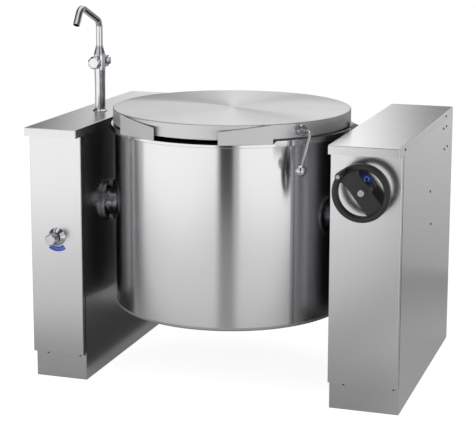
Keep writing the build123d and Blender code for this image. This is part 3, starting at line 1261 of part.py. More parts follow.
# ------------------------------------------------------------------ all nodes
def build():
    """Write every node."""
    os.makedirs("parts", exist_ok=True)
    save("left_cover", left_cover())
    save("right_cover", cover(RIGHT))
    save("left_wrap", left_wrap())
    save("right_wrap", wrap(RIGHT))
    save("left_front_panel", left_front_panel())
    save("right_front_panel", right_front_panel())
    save("left_plinth", plinth(LEFT))
    save("right_plinth", plinth(RIGHT))
    save("left_frame", frame(LEFT))
    save("right_frame", right_frame())
    save("left_bearing_housing", bearing_housing(LEFT))
    save("right_bearing_housing", bearing_housing(RIGHT))
    save("left_bearing_bush", bearing_bush(LEFT))
    save("right_bearing_bush", bearing_bush(RIGHT))
    save("housing_bolts", *housing_bolts())
    save("inner_pot", inner_pot())
    save("steam_jacket", steam_jacket())
    save("insulation", insulation())
    save("cladding", cladding())
    save("bottom_pan", bottom_pan())
    save("rim_ring", rim_ring())
    save("pour_lip_cheeks", *lip_cheeks())
    save("rim_ear", rim_ear())
    save("left_trunnion", trunnion(-1, LEFT_SHAFT_END, True))
    save("right_trunnion", right_trunnion())
    save("siphon_tube", siphon_tube())
    save("worm_wheel", worm_wheel())
    save("wheel_key", wheel_key())
    save("lid_skin", lid_skin())
    save("lid_inner_pan", lid_pan())
    save("lid_seal", lid_seal())
    save("hinge_bracket", hinge_bracket())
    save("hinge_pin", hinge_pin())
    save("lid_hinge_arm", hinge_arm())
    save("lever_boss", lever_boss())
    save("lever_rod", lever_rod())
    save("lever_ball", lever_ball())
    save("worm_shaft", worm_shaft())
    for name, side in (("front", -1), ("rear", 1)):
        save(f"worm_pillow_block_{name}", pillow_block(AXIS_Y + side * BEARING_POST_OFFSET))
        save(f"tap_knob_{name}", tap_knob(side))
    save("handwheel_bush", handwheel_bush())
    save("handwheel", handwheel())
    save("handwheel_cap", handwheel_cap())
    save("grip_pin", grip_pin())
    save("grip", grip())
    save("knob_escutcheon", knob_escutcheon())
    save("steam_knob", steam_knob())
    save("steam_valve", steam_valve())
    save("steam_supply_pipe", steam_supply_pipe())
    save("steam_feed_pipe", steam_feed_pipe())
    save("rotary_steam_joint", rotary_joint())
    save("condensate_pipe", condensate_pipe())
    save("water_pipes", *water_pipes())
    save("tap_base_ring", tap_base_ring())
    save("tap_column", tap_column())
    save("spout_collar", spout_collar())
    save("spout", spout())


build()
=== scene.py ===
# %% [markdown]
# # A tilting steam jacketed kettle
# The kettle hangs on two trunnions between a pair of floor consoles. The left console carries a
# mixer tap and a steam knob, the right one a handwheel that tilts the kettle through a worm and a
# wheel. The working model is loaded as a fixed frame. This lesson dresses it: camera, finishes,
# screws, small plates and light.

# %% Load the working model
import json
import math
import bmesh
import bpy
from mathutils import Matrix, Vector


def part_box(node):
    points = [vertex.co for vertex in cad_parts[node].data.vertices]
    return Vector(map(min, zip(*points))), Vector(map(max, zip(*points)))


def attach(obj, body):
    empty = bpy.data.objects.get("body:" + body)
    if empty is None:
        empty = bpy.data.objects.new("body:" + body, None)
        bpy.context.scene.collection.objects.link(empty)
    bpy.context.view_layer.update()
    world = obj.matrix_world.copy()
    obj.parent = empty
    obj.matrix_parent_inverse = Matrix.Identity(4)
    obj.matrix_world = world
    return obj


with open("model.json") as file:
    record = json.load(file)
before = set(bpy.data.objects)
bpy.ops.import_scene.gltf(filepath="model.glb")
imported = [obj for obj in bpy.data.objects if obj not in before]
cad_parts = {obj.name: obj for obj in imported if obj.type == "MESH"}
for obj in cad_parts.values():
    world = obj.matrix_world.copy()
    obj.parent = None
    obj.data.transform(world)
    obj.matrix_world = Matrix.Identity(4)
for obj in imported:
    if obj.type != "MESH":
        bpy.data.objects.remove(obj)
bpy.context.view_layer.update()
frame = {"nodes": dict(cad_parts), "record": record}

nodes = frame["nodes"]
scene = bpy.context.scene

# %% [markdown]
# ## The camera
# A kettle like this is mostly shown in a catalogue, through a long lens from well back that keeps
# the consoles nearly square. A Track To constraint could aim the camera, but it gives no hold on
# the roll. So the camera is turned by three angles: to the right of the front, down, and a very
# small roll. Its lens is shifted down in place of a steeper dip, so that the upright edges hardly
# lean.

# %% Camera
CAMERA_PLACE = Vector((1.58493, -4.94101, 1.70765))
CAMERA_TURN = math.radians(17.98)
CAMERA_DIP = math.radians(9.98)
CAMERA_ROLL = math.radians(0.19)
FOCAL_LENGTH = 110.66
LENS_SHIFT = -0.145

camera_data = bpy.data.cameras.new("camera")
camera_data.sensor_width = 36.0
camera_data.lens = FOCAL_LENGTH
camera_data.shift_y = LENS_SHIFT
camera_data.clip_end = 100.0
camera = bpy.data.objects.new("camera", camera_data)
scene.collection.objects.link(camera)
camera.matrix_world = (
    Matrix.Translation(CAMERA_PLACE)
    @ Matrix.Rotation(CAMERA_TURN, 4, "Z")
    @ Matrix.Rotation(math.pi / 2 - CAMERA_DIP, 4, "X")
    @ Matrix.Rotation(CAMERA_ROLL, 4, "Z")
)
scene.camera = camera
scene.view_settings.view_transform = "Standard"
print("camera at", tuple(round(v, 2) for v in CAMERA_PLACE))

# %% [markdown]
# ## Shader maths
# The finishes of the kettle depend on place: streaks run round its axis, gloss drifts, a plinth
# carries painted shade under a panel. Such rules can be wired by hand as a heap of nodes, but they
# are easier to read as formulas. This small class wraps a socket, so that plus, minus and times
# make
# Math nodes.

# %% A value that varies


class Value:
    """A number that varies over a surface, on which Python's own signs work."""

    def __init__(self, paint, socket):
        self.paint = paint
        self.socket = socket

    def __add__(self, other):
        return self.paint.maths("ADD", self, other)

    def __sub__(self, other):
        return self.paint.maths("SUBTRACT", self, other)

    def __rsub__(self, other):
        return self.paint.maths("SUBTRACT", other, self)

    def __mul__(self, other):
        return self.paint.maths("MULTIPLY", self, other)

    def __pow__(self, other):
        return self.paint.maths("POWER", self, other)


print("values can be added, subtracted, multiplied and raised")

# %% [markdown]
# ## One material at a time
# Every finish is one Principled shader with a few nodes before it. Copying a node tree for each
# would hide what differs between them, so a second class holds a material and makes any node from
# its type, its settings and what goes into its sockets. Constants stay on the shader itself.

# %% A paint


class Paint:
    """One material, its shader and the nodes that feed it."""

    def __init__(self, name, **constants):
        self.material = bpy.data.materials.new(name)
        self.material.use_nodes = True
        self.tree = self.material.node_tree
        self.shader = self.tree.nodes["Principled BSDF"]
        self.feed(**constants)

    def node(self, kind, settings=None, inputs=None, output=0):
        """Any node, with its settings made first and its sockets filled after."""
        new = self.tree.nodes.new(kind)
        for name, value in (settings or {}).items():
            setattr(new, name, value)
        for name, value in (inputs or {}).items():
            self.fill(new.inputs[name], value)
        return Value(self, new.outputs[output])

    def fill(self, socket, value):
        """Link a varying value to a socket, or set a constant on it."""
        if isinstance(value, Value):
            self.tree.links.new(value.socket, socket)
        else:
            socket.default_value = value

    def feed(self, **sockets):
        """Fill sockets of the shader itself."""
        for name, value in sockets.items():
            self.fill(self.shader.inputs[name.replace("_", " ")], value)
        return self

    def maths(self, operation, *values):
        """A Math node on one or two values."""
        return self.node("ShaderNodeMath", {"operation": operation}, dict(enumerate(values)))

    def place(self):
        """The x, y and z of a point of the piece, as three values."""
        coordinates = self.node("ShaderNodeTexCoord", output="Object")
        split = self.tree.nodes.new("ShaderNodeSeparateXYZ")
        self.tree.links.new(coordinates.socket, split.inputs[0])
        return [Value(self, socket) for socket in split.outputs]

    def vector(self, x, y, z):
        """Three values joined to one vector."""
        return self.node("ShaderNodeCombineXYZ", None, {0: x, 1: y, 2: z})

    def noise(self, vector, detail, roughness):
        """Noise at a vector that is already scaled."""
        inputs = {"Vector": vector, "Scale": 1.0, "Detail": detail, "Roughness": roughness}
        return self.node("ShaderNodeTexNoise", None, inputs)

    def ramp(self, value, start, end):
        """Nought below the start, one above the end and soft in between."""
        return self.node("ShaderNodeMapRange", {"interpolation_type": "SMOOTHSTEP"},
                         {"Value": value, "From Min": start, "From Max": end})

    def blend(self, factor, low, high):
        """A colour between two colours."""
        return self.node("ShaderNodeMix", {"data_type": "RGBA"},
                         {0: factor, 6: low, 7: high}, output=2)

    def bump(self, height, distance, strength=1.0):
        """A surface tilted by a height in metres."""
        return self.node("ShaderNodeBump", None,
                         {"Height": height, "Distance": distance, "Strength": strength})


print("paints ready")

# %% [markdown]
# ## Satin stainless steel
# Catering steel is ground with a belt, so it carries fine parallel scratches. Along them it mirrors
# sharply, across them it smears the light. An image of scratches would show its seams on the round
# kettle, so noise is stretched a hundredfold along the grain, and gives both the faint streaks and
# the uneven gloss. Each kind of sheet has its own grain: upright on the consoles, round the vessel
# on the kettle, and in rings on the lid, where the Anisotropic setting draws the fan of light.

# %% Satin steel
KETTLE_AXIS = (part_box("cladding")[0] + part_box("cladding")[1]) / 2
GRAIN_FINE = 900.0
GRAIN_LONG = 6.0
GRAIN_TURN = 3.0
STREAK_DETAIL, STREAK_ROUGH = 3.0, 0.6
STREAK_LIGHT = (1.04, 1.04, 1.05)
STREAK_DARK = (0.94, 0.94, 0.96)
STREAK_GLOSS = 0.08
SCRATCH_DEPTH, SCRATCH_STRENGTH = 0.00001, 0.25
GAP_DARK = (0.02, 0.02, 0.02, 1)
GAP_SOFT, GAP_SHARE = 0.003, 0.7


def satin(name, grain, tone=0.60, gloss=0.27, spread=0.0, turn=0.25, edge=None):
    """Brushed steel whose streaks follow a grain; above an edge it lies in the dark of a gap."""
    paint = Paint(name, Metallic=1.0, Anisotropic=spread, Anisotropic_Rotation=turn)
    x, y, z = paint.place()
    if grain in ("round", "rings"):
        east, north = x - KETTLE_AXIS.x, y - KETTLE_AXIS.y
        radius = (east * east + north * north) ** 0.5
        angle = paint.maths("ARCTAN2", north, east)
    if grain == "upright":
        at = paint.vector(x * GRAIN_FINE, y * GRAIN_FINE, z * GRAIN_LONG)
    elif grain == "along":
        at = paint.vector(x * GRAIN_FINE, y * GRAIN_LONG, z * GRAIN_FINE)
    elif grain == "round":
        at = paint.vector(angle * GRAIN_TURN, z * GRAIN_FINE, radius * GRAIN_FINE)
    else:
        at = paint.vector(angle * GRAIN_TURN, radius * GRAIN_FINE, z * GRAIN_LONG)
    streaks = paint.noise(at, STREAK_DETAIL, STREAK_ROUGH)
    light = tuple(tone * part for part in STREAK_LIGHT) + (1.0,)
    dark = tuple(tone * part for part in STREAK_DARK) + (1.0,)
    colour = paint.blend(streaks, dark, light)
    if edge is not None:
        colour = paint.blend(paint.ramp(z, edge - GAP_SOFT, edge) * GAP_SHARE, colour, GAP_DARK)
    paint.feed(Base_Color=colour, Roughness=streaks * STREAK_GLOSS + (gloss - STREAK_GLOSS / 2))
    return paint.feed(Normal=paint.bump(streaks, SCRATCH_DEPTH, SCRATCH_STRENGTH)).material


PANEL_SHADE = 0.0065
satin_upright = satin("satin_upright", "upright", gloss=0.25)
satin_along = satin("satin_along", "along", gloss=0.28)
satin_round = satin("satin_round", "round", gloss=0.17, spread=0.8)
satin_rings = satin("satin_rings", "rings", tone=0.49, gloss=0.32, spread=1.0, turn=0.0)
satin_matt = satin("satin_matt", "along", tone=0.66, gloss=0.50)
satin_plinth = satin("satin_plinth", "upright", tone=0.58, gloss=0.32,
                     edge=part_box("left_front_panel")[0].z - PANEL_SHADE)
print("satin steels", sum(m.name.startswith("satin") for m in bpy.data.materials))

# %% [markdown]
# ## The other finishes
# Polished chrome for the tap and knobs, turned steel for shafts, worn steel for the housings, black
# nylon for the handwheel, grey paint for the inner frames, cast iron, bronze, rubber, enamel and
# mineral wool. One flat colour and gloss is what gives a model away. An image for each surface
# could cure that, but a soft cloud of noise is lighter, has no seam, and one function serves all.

# %% Other finishes
CLOUD_DETAIL, CLOUD_ROUGH = 4.0, 0.6
CLOUD_GLOSS = 0.16
GRIT_SCALE = 12
GRIT_DETAIL, GRIT_ROUGH = 2.0, 0.5


def mottled(name, colour, rough, metal=0.0, size=60.0, swing=0.1, depth=0.0, **constants):
    """A finish whose colour and gloss vary softly, with an optional grit depth in metres."""
    paint = Paint(name, Metallic=metal, **constants)
    x, y, z = paint.place()
    cloud = paint.noise(paint.vector(x * size, y * size, z * size), CLOUD_DETAIL, CLOUD_ROUGH)
    dark = tuple(c * (1 - swing) for c in colour) + (1.0,)
    light = tuple(c * (1 + swing) for c in colour) + (1.0,)
    paint.feed(Base_Color=paint.blend(cloud, dark, light),
               Roughness=cloud * CLOUD_GLOSS + (rough - CLOUD_GLOSS / 2))
    if depth:
        fine = size * GRIT_SCALE
        grit = paint.noise(paint.vector(x * fine, y * fine, z * fine), GRIT_DETAIL, GRIT_ROUGH)
        paint.feed(Normal=paint.bump(grit, depth))
    return paint.material


chrome = mottled("polished_chrome", (0.56, 0.56, 0.58), 0.12, metal=1.0, swing=0.02)
turned_steel = mottled("turned_steel", (0.60, 0.60, 0.62), 0.25, metal=1.0)
black_nylon = mottled("black_nylon", (0.010, 0.010, 0.011), 0.30, swing=0.2, depth=0.00003)
frame_paint = mottled("frame_paint", (0.28, 0.29, 0.31), 0.55, size=20.0)
cast_iron = mottled("cast_iron", (0.09, 0.09, 0.095), 0.62, size=120.0, swing=0.3, depth=0.0002)
bronze = mottled("bearing_bronze", (0.62, 0.44, 0.22), 0.35, metal=1.0)
rubber = mottled("seal_rubber", (0.62, 0.62, 0.60), 0.60)
black_screw = mottled("blackened_screw", (0.05, 0.05, 0.05), 0.40, metal=1.0)
blue_enamel = mottled("blue_enamel", (0.020, 0.110, 0.75), 0.32, size=300.0, swing=0.08,
                      Coat_Weight=0.4)
white_print = mottled("white_print", (0.80, 0.80, 0.80), 0.45, size=300.0, swing=0.03)
wool = mottled("mineral_wool", (0.62, 0.55, 0.33), 0.95, size=90.0, swing=0.25, depth=0.001)
worn_steel = mottled("worn_steel", (0.34, 0.34, 0.35), 0.26, metal=1.0, size=200.0)
print("finishes in all", len(bpy.data.materials))

# %% [markdown]
# ## Finishes on the working model
# Each piece of the working model says what it is made of, and that picks its finish. A few pieces
# of the same steel are ground another way or have been handled, and the plinths carry painted
# shade under the front panels, so they are named one by one. The materials go on the slots of the
# nodes, and the meshes of the nodes stay as they are.

# %% Giving the finishes
FINISHES = {
    "stainless": satin_upright, "polished": chrome, "shaft_steel": turned_steel,
    "frame_steel": frame_paint, "cast_iron": cast_iron, "bronze": bronze,
    "black_plastic": black_nylon, "seal_rubber": rubber, "mineral_wool": wool,
}
OWN_FINISH = {
    "left_cover": satin_along, "right_cover": satin_along,
    "left_plinth": satin_plinth, "right_plinth": satin_plinth,
    "cladding": satin_round, "rim_ring": satin_round,
    "inner_pot": satin_round, "steam_jacket": satin_round,
    "bottom_pan": satin_rings, "lid_skin": satin_rings, "lid_inner_pan": satin_rings,
    "pour_lip_cheeks": satin_matt, "handwheel_cap": worn_steel, "grip_pin": worn_steel,
    "left_bearing_housing": worn_steel, "right_bearing_housing": worn_steel,
}
for part in frame["record"]["subparts"]:
    node = nodes[part["node"]]
    finish = OWN_FINISH.get(part["node"], FINISHES[part["material_slot"]])
    node.data.materials.clear()
    node.data.materials.append(finish)
print("finishes given to", len(nodes), "nodes,", len(OWN_FINISH), "of them by name")

# %% [markdown]
# ## Small helpers for new pieces
# Screws, plates and marks are small, and could be drawn by hand in Edit Mode. They are shaped with
# bmesh operators instead, which are quick to repeat. These helpers pull faces out, place a shape
# that was made flat, add one shape to another and keep the result. Doubled points are merged before
# the outside of a piece is worked out, and the piece rides on the body that carries it.

# %% Shaping and keeping
FRONT = (0, -1, 0)
MERGE = 0.00001


def pull(bm, faces, height):
    """Extrude faces and move the new ones along Z by a height, which may be negative."""
    moved = bmesh.ops.extrude_face_region(bm, geom=faces)["geom"]
    points = [v for v in moved if isinstance(v, bmesh.types.BMVert)]
    bmesh.ops.translate(bm, vec=(0, 0, height), verts=points)


def put(bm, centre, facing):
    """Move a shape that was made flat to a centre, its own +Z looking in a direction."""
    out = Vector(facing).normalized()
    side = Vector((0, 0, 1)).cross(out).normalized()
    turn = Matrix((side, out.cross(side), out)).transposed().to_4x4()
    bmesh.ops.transform(bm, matrix=Matrix.Translation(centre) @ turn, verts=bm.verts)


def add(bm, other):
    """Add another shape to a bmesh and free it."""
    spare = bpy.data.meshes.new("spare")
    other.to_mesh(spare)
    other.free()
    bm.from_mesh(spare)
    bpy.data.meshes.remove(spare)


def keep(name, bm, material, body, smooth=False):
    """Turn a bmesh into a piece of the model that rides on a body."""
    bmesh.ops.remove_doubles(bm, verts=bm.verts, dist=MERGE)
    bmesh.ops.recalc_face_normals(bm, faces=bm.faces)
    for face in bm.faces:
        face.smooth = smooth
    mesh = bpy.data.meshes.new(name)
    bm.to_mesh(mesh)
    bm.free()
    mesh.materials.append(material)
    piece = bpy.data.objects.new(name, mesh)
    scene.collection.objects.link(piece)
    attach(piece, body)
    print(name, len(mesh.polygons), "faces")


print("helpers ready")

# %% [markdown]
# ## The screws of the sheet metal
# The right console shows its fixings: two screws hold the cover, six more hold the frame inside,
# and a pair stands under each front panel. Each is a low domed head with a sunk socket. A cylinder
# with a hole cut in it would need a Boolean, so the head is a circle that is pulled up, bevelled at
# its edge, inset and sunk in the middle, which leaves clean faces.

# %% Screws
SCREW_RADIUS = 0.0042
HEAD_SIDES = 24
HEAD_HEIGHT = SCREW_RADIUS * 0.45
HEAD_BEVEL = SCREW_RADIUS * 0.3
SOCKET_WALL = SCREW_RADIUS * 0.25
SOCKET_DEPTH = SCREW_RADIUS * 0.3
PLINTH_SCREW_DROP = SCREW_RADIUS * 2.2
# y and z of each screw in the right side, then x of each screw in the plinths
SIDE_SCREWS = [(-0.400, 0.885), (0.338, 0.884), (0.295, 0.845), (0.353, 0.845),
               (0.318, 0.765), (0.378, 0.766), (0.057, 0.658), (0.083, 0.536)]
PLINTH_SCREWS = [-0.585, -0.462, 0.487, 0.656]


def screw_head(centre, facing):
    """One screw head with its socket, as a bmesh."""
    head = bmesh.new()
    bmesh.ops.create_circle(head, cap_ends=True, segments=HEAD_SIDES, radius=SCREW_RADIUS)
    pull(head, head.faces[:], HEAD_HEIGHT)
    rim = [e for e in head.edges if all(v.co.z > HEAD_HEIGHT / 2 for v in e.verts)]
    bmesh.ops.bevel(head, geom=rim, offset=HEAD_BEVEL, segments=3, profile=0.5,
                    affect="EDGES", material=-1)
    crown = max(head.faces, key=lambda f: f.calc_center_median().z + f.calc_area())
    bmesh.ops.inset_individual(head, faces=[crown], thickness=SOCKET_WALL)
    pull(head, [crown], -SOCKET_DEPTH)
    bmesh.ops.delete(head, geom=[crown], context="FACES")
    put(head, centre, facing)
    return head


side_x = max(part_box("right_wrap")[1].x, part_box("right_cover")[1].x)
side_screws = bmesh.new()
for y, z in SIDE_SCREWS:
    add(side_screws, screw_head((side_x, y, z), (1, 0, 0)))
keep("side_screws", side_screws, black_screw, "stand", smooth=True)

plinth_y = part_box("right_plinth")[0].y
plinth_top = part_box("right_plinth")[1].z
plinth_screws = bmesh.new()
for x in PLINTH_SCREWS:
    add(plinth_screws, screw_head((x, plinth_y, plinth_top - PLINTH_SCREW_DROP), FRONT))
keep("plinth_screws", plinth_screws, black_screw, "stand", smooth=True)
print("screws", len(SIDE_SCREWS) + len(PLINTH_SCREWS))

# %% [markdown]
# ## The dial plate of the steam knob
# Below the steam knob a blue enamelled arc shows how far the valve is open. It could be an image on
# a flat patch, but a real plate has an edge that catches the light. So a short radial edge is spun
# round the knob's axis and given a thickness.

# %% Dial plate
PLATE_THICK = 0.0008
PLATE_LIFT = 0.00005
DIAL_INNER, DIAL_OUTER = 0.0345, 0.0520
DIAL_HALF = math.radians(38)
DIAL_STEPS = 24
DOWN = -math.pi / 2


def arc_plate(inner, outer, start, end, low, high, steps):
    """A flat arc between two radii and two angles, from one height to another."""
    arc = bmesh.new()
    near = arc.verts.new((inner * math.cos(start), inner * math.sin(start), low))
    far = arc.verts.new((outer * math.cos(start), outer * math.sin(start), low))
    edge = arc.edges.new((near, far))
    bmesh.ops.spin(arc, geom=[near, far, edge], cent=(0, 0, 0), axis=(0, 0, 1),
                   angle=end - start, steps=steps)
    pull(arc, arc.faces[:], high - low)
    return arc


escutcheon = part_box("knob_escutcheon")
knob_centre = (escutcheon[0] + escutcheon[1]) / 2
knob_centre.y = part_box("left_front_panel")[0].y
dial = arc_plate(DIAL_INNER, DIAL_OUTER, DOWN - DIAL_HALF, DOWN + DIAL_HALF,
                 PLATE_LIFT, PLATE_THICK, DIAL_STEPS)
put(dial, knob_centre, FRONT)
keep("dial_plate", dial, blue_enamel, "stand")

# %% [markdown]
# ### The marks on the dial
# The scale has no words or numbers: six white bars that grow from closed to open say all that the
# cook needs. They are printed on the real plate, and a texture could carry them, but bars with a
# hair of height stay crisp at any distance. They are spun in the same way as the plate.

# %% Dial marks
MARKS = 6
MARK_INNER, MARK_OUTER, MARK_GROWTH = 0.0400, 0.0430, 0.0010
MARK_HALF = 0.022
MARK_SPREAD = DIAL_HALF * 0.8
MARK_LOW, MARK_HIGH = PLATE_THICK * 0.9, PLATE_THICK * 1.2

marks = bmesh.new()
for k in range(MARKS):
    middle = DOWN - MARK_SPREAD + 2 * MARK_SPREAD * k / (MARKS - 1)
    mark = arc_plate(MARK_INNER, MARK_OUTER + MARK_GROWTH * k, middle - MARK_HALF,
                     middle + MARK_HALF, MARK_LOW, MARK_HIGH, 2)
    put(mark, knob_centre, FRONT)
    add(marks, mark)
keep("dial_marks", marks, white_print, "stand")

# %% [markdown]
# ## The sign beside the handwheel
# A small blue plate on the right panel says that the wheel turns the kettle. The plate is a cube,
# made flat, with its corner edges bevelled. It shows a plain turning arrow, which could be a letter
# of a symbol font. A spun arc and a triangle need no font: most of a ring and the tip at its end.

# %% Turning sign
SIGN_SIZE = 0.028
SIGN_CORNER = 0.003
SIGN_CENTRE = Vector((0.5595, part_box("right_front_panel")[0].y, 0.790))
RING_INNER, RING_OUTER = 0.0062, 0.0086
RING_START, RING_END = math.radians(-60), math.radians(210)
RING_STEPS = 30
TIP_RADIUS = 0.0042
TIP_X, TIP_Y = -0.0064, -0.0052
PRINT_TOP = PLATE_THICK * 1.3

sign = bmesh.new()
bmesh.ops.create_cube(sign, size=1.0)
bmesh.ops.scale(sign, vec=(SIGN_SIZE, SIGN_SIZE, PLATE_THICK), verts=sign.verts)
bmesh.ops.translate(sign, vec=(0, 0, PLATE_THICK / 2 + PLATE_LIFT), verts=sign.verts)
upright = [e for e in sign.edges if abs(e.verts[0].co.z - e.verts[1].co.z) > PLATE_THICK / 2]
bmesh.ops.bevel(sign, geom=upright, offset=SIGN_CORNER, segments=5, profile=0.5,
                affect="EDGES", material=-1)
put(sign, SIGN_CENTRE, FRONT)
keep("turning_sign", sign, blue_enamel, "stand")

arrow = arc_plate(RING_INNER, RING_OUTER, RING_START, RING_END, PLATE_THICK, PRINT_TOP, RING_STEPS)
tip = bmesh.new()
bmesh.ops.create_circle(tip, cap_ends=True, segments=3, radius=TIP_RADIUS)
bmesh.ops.translate(tip, vec=(TIP_X, TIP_Y, PRINT_TOP), verts=tip.verts)
add(arrow, tip)
put(arrow, SIGN_CENTRE, FRONT)
keep("turning_arrow", arrow, white_print, "stand")

# %% [markdown]
# ## The studio
# Steel shows only what it mirrors, so the studio is drawn as the steel sees it. A panorama of a
# studio could do that, but sheets and soft lamps can be placed one by one, until each face of the
# kettle mirrors what it should. The room itself is dim. Its sheets glow only for the rays that look
# at them.

# %% Room and sheets
ROOM_LIGHT = 0.09
WHITE = (1, 1, 1, 1)
SHEET_BLACK = (0.02, 0.02, 0.02, 1)

scene.world = bpy.data.worlds.new("studio_room")
scene.world.use_nodes = True
room = scene.world.node_tree.nodes["Background"].inputs
room["Color"].default_value = WHITE
room["Strength"].default_value = ROOM_LIGHT


def stage_sheet(name, width, height, centre, facing, material):
    """A flat sheet of the setting, facing a direction."""
    bm = bmesh.new()
    bmesh.ops.create_grid(bm, x_segments=1, y_segments=1, size=0.5)
    bmesh.ops.scale(bm, vec=(width, height, 1), verts=bm.verts)
    turn = Vector(facing).to_track_quat("Z", "Y").to_matrix().to_4x4()
    bmesh.ops.transform(bm, matrix=Matrix.Translation(centre) @ turn, verts=bm.verts)
    mesh = bpy.data.meshes.new(name)
    bm.to_mesh(mesh)
    bm.free()
    mesh.materials.append(material)
    sheet = bpy.data.objects.new(name, mesh)
    scene.collection.objects.link(sheet)
    return sheet


def ray(paint, kind):
    """One for the rays of a kind, nought for all others."""
    return paint.node("ShaderNodeLightPath", output="Is " + kind + " Ray")


def seen(paint):
    """One for the rays that look at a thing or at its image, nought for scattered light."""
    direct = paint.maths("MAXIMUM", ray(paint, "Camera"), ray(paint, "Glossy"))
    return paint.maths("MAXIMUM", direct, ray(paint, "Transmission"))


print("room light", ROOM_LIGHT)

# %% [markdown]
# ## The floor
# To the eye the floor is white up to the horizon, and the feet of the consoles cast their soft
# shadow on it. A plain white floor would also fill every upright face with white from below. The
# real steel is grey near the feet, so for mirror rays the floor is dim there and brighter further
# out: in front most, with a dark strip that draws the kettle's dark band, and less on the other
# sides. This could be done with many lamps, but one floor whose glow depends on place is simpler.

# %% Floor
FLOOR_GREY = (0.5, 0.5, 0.5, 1)
FEET_EDGE = (0.6, 1.9)
FRONT_EDGE = (0.5, 1.3)
STRIP_TURN, STRIP_EDGE, STRIP_SHARE = 0.24, (0.05, 0.20), 0.62
RIGHT_EDGE = (0.5, 0.7)
LEFT_EDGE, LEFT_START = (0.7, 0.95), (-0.6, -0.1)
BACK_EDGE = (1.2, 2.2)
GLOW_NEAR, GLOW_GAIN = 0.90, 0.10
IMAGE_FRONT, IMAGE_RIGHT, IMAGE_LEFT, IMAGE_BACK, IMAGE_LEAST = 0.66, 0.12, 0.36, 0.34, 0.16

floor_paint = Paint("floor_paint", Roughness=0.7, Emission_Color=WHITE)
x, y, _ = floor_paint.place()
far = floor_paint.ramp((x * x + y * y) ** 0.5, *FEET_EDGE)
front = floor_paint.ramp(0 - y, *FRONT_EDGE)
strip_way = floor_paint.maths("ARCTAN2", x, KETTLE_AXIS.y - y) - STRIP_TURN
strip = 1 - floor_paint.ramp(floor_paint.maths("ABSOLUTE", strip_way), *STRIP_EDGE)
right = floor_paint.ramp(x, *RIGHT_EDGE) * (1 - front)
left = floor_paint.ramp(0 - x, *LEFT_EDGE) * floor_paint.ramp(y, *LEFT_START)
back = floor_paint.ramp(y, *BACK_EDGE)
to_mirrors = (far * front * (1 - strip * STRIP_SHARE) * IMAGE_FRONT + right * IMAGE_RIGHT
              + left * IMAGE_LEFT + back * IMAGE_BACK + IMAGE_LEAST)
to_eye = far * GLOW_GAIN + GLOW_NEAR
eye = ray(floor_paint, "Camera")
floor_paint.feed(Base_Color=floor_paint.blend(far, FLOOR_GREY, SHEET_BLACK),
                 Emission_Strength=seen(floor_paint) * (eye * to_eye + (1 - eye) * to_mirrors))
stage_sheet("floor", width=60, height=60, centre=(0, 0, -0.0005), facing=(0, 0, 1),
            material=floor_paint.material)
print("floor ready")

# %% [markdown]
# ## The backdrop
# Behind the kettle a studio has a paper roll or a bright window. Only the steel needs it: the lid
# and the covers mirror the window at their far ends. So it is a sheet that the camera doesn't see,
# bright in one upright stretch and brighter towards its top. The eye sees the white floor alone,
# which reaches further than the top edge of the view.

# %% Backdrop
WINDOW_X, WINDOW_EDGE, WINDOW_SHARE = -2.1, (0.9, 1.8), 0.85
BACKDROP_RISE_X, BACKDROP_RISE_Z, BACKDROP_LEAST = 0.28, 0.55, 0.56

backdrop_paint = Paint("backdrop_paint", Base_Color=SHEET_BLACK, Emission_Color=WHITE)
x, _, z = backdrop_paint.place()
away = backdrop_paint.maths("ABSOLUTE", x - WINDOW_X)
window = 1 - backdrop_paint.ramp(away, *WINDOW_EDGE) * WINDOW_SHARE
slope = x * BACKDROP_RISE_X + z * BACKDROP_RISE_Z + BACKDROP_LEAST
backdrop_paint.feed(Emission_Strength=seen(backdrop_paint) * window * slope)
backdrop = stage_sheet("backdrop", width=14, height=5, centre=(-2.2, 6.0, 2.5), facing=FRONT,
                       material=backdrop_paint.material)
backdrop.visible_camera = False
print("backdrop ready")

# %% [markdown]
# ## The soft walls
# Two tall soft boxes stand to the left and right of the camera, and a third hangs over the kettle.
# The curved side of the kettle mirrors the first two as broad pale bands, with the room dark
# between and beyond them. A sun or a small lamp would only make a hard glint. The lamps are set by
# how bright their faces look, because that is what steel shows of them.

# %% Soft walls
WALL_GLOW = 0.73
CEILING_GLOW = 1.1
AIM = (0, 0, 1.2)


def soft_wall(name, radiance, width, height, centre, target):
    """A large soft lamp whose face has a given brightness, aimed at a point."""
    data = bpy.data.lights.new(name, "AREA")
    data.shape = "RECTANGLE"
    data.size = width
    data.size_y = height
    data.energy = radiance * math.pi * width * height
    lamp = bpy.data.objects.new(name, data)
    scene.collection.objects.link(lamp)
    way = (Vector(target) - Vector(centre)).to_track_quat("-Z", "Y").to_matrix().to_4x4()
    lamp.matrix_world = Matrix.Translation(centre) @ way
    lamp.visible_camera = False


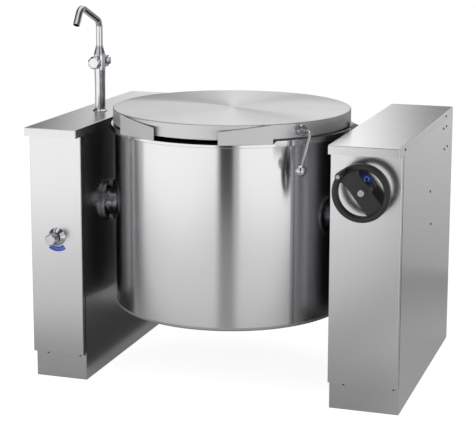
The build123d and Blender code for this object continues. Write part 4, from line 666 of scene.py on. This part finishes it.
def around(angle, distance, height):
    """A place round the world's axis, by its angle in degrees to the right of the camera."""
    way = math.atan2(CAMERA_PLACE.x, -CAMERA_PLACE.y) + math.radians(angle)
    return Vector((math.sin(way) * distance, -math.cos(way) * distance, height))


soft_wall("wall_left", WALL_GLOW, width=4.6, height=4.0,
          centre=around(-50.5, distance=2.8, height=1.6), target=AIM)
soft_wall("wall_right", WALL_GLOW, width=2.9, height=4.0,
          centre=around(31.5, distance=2.9, height=1.6), target=AIM)
soft_wall("ceiling", CEILING_GLOW, width=3.4, height=5.4,
          centre=(-0.3, 0.6, 3.9), target=(-0.3, 0.5, 0.8))
print("soft walls", len(bpy.data.lights))

# %% [markdown]
# ## Flags
# In a studio, black boards called flags stand where steel should mirror darkness. One narrow flag
# before the kettle draws the dark band down its middle. One upright behind the kettle keeps the
# space between the consoles dark. The sheet that lies on the floor between the consoles is painted
# shadow: it stands for the machine's shade on the floor there, as the mirrors see it. The last flag
# grades what the right side mirrors. Turning lamps down would darken the whole kettle. These sheets
# are seen by mirror rays alone, so each changes one reflection, and neither the light on the kettle
# nor the shadow on the floor.

# %% Flags


def flag(name, width, height, centre, facing, low, high):
    """A sheet that only mirrors see, whose tone runs from its foot to its top."""
    paint = Paint(name + "_paint", Base_Color=SHEET_BLACK, Emission_Color=WHITE)
    rise = paint.node("ShaderNodeMapRange", None,
                      {"Value": paint.place()[2], "From Min": 0.0, "From Max": height,
                       "To Min": low, "To Max": high})
    paint.feed(Emission_Strength=rise * seen(paint))
    sheet = stage_sheet(name, width, height, centre, facing, paint.material)
    sheet.visible_camera = sheet.visible_diffuse = sheet.visible_shadow = False


before = around(-4.3, distance=1.8, height=1.2)
flag("flag_front", width=0.45, height=2.4, centre=before + Vector((0, KETTLE_AXIS.y, 0)),
     facing=-before, low=0.02, high=0.02)
flag("flag_middle", width=0.54, height=0.95, centre=(-0.10, 0.80, 0.475), facing=FRONT,
     low=0.01, high=0.01)
# Painted shadow: a dark sheet on the floor between the consoles, seen only in mirrors, stands for
# the machine's shade there.
flag("painted_floor_shadow", width=0.77, height=0.85, centre=(0, 0.125, 0.001), facing=(0, 0, 1),
     low=0.03, high=0.03)
flag("flag_side", width=1.9, height=1.4, centre=(1.60, 1.35, 0.7), facing=(-0.15, -1, 0),
     low=0.46, high=0.98)
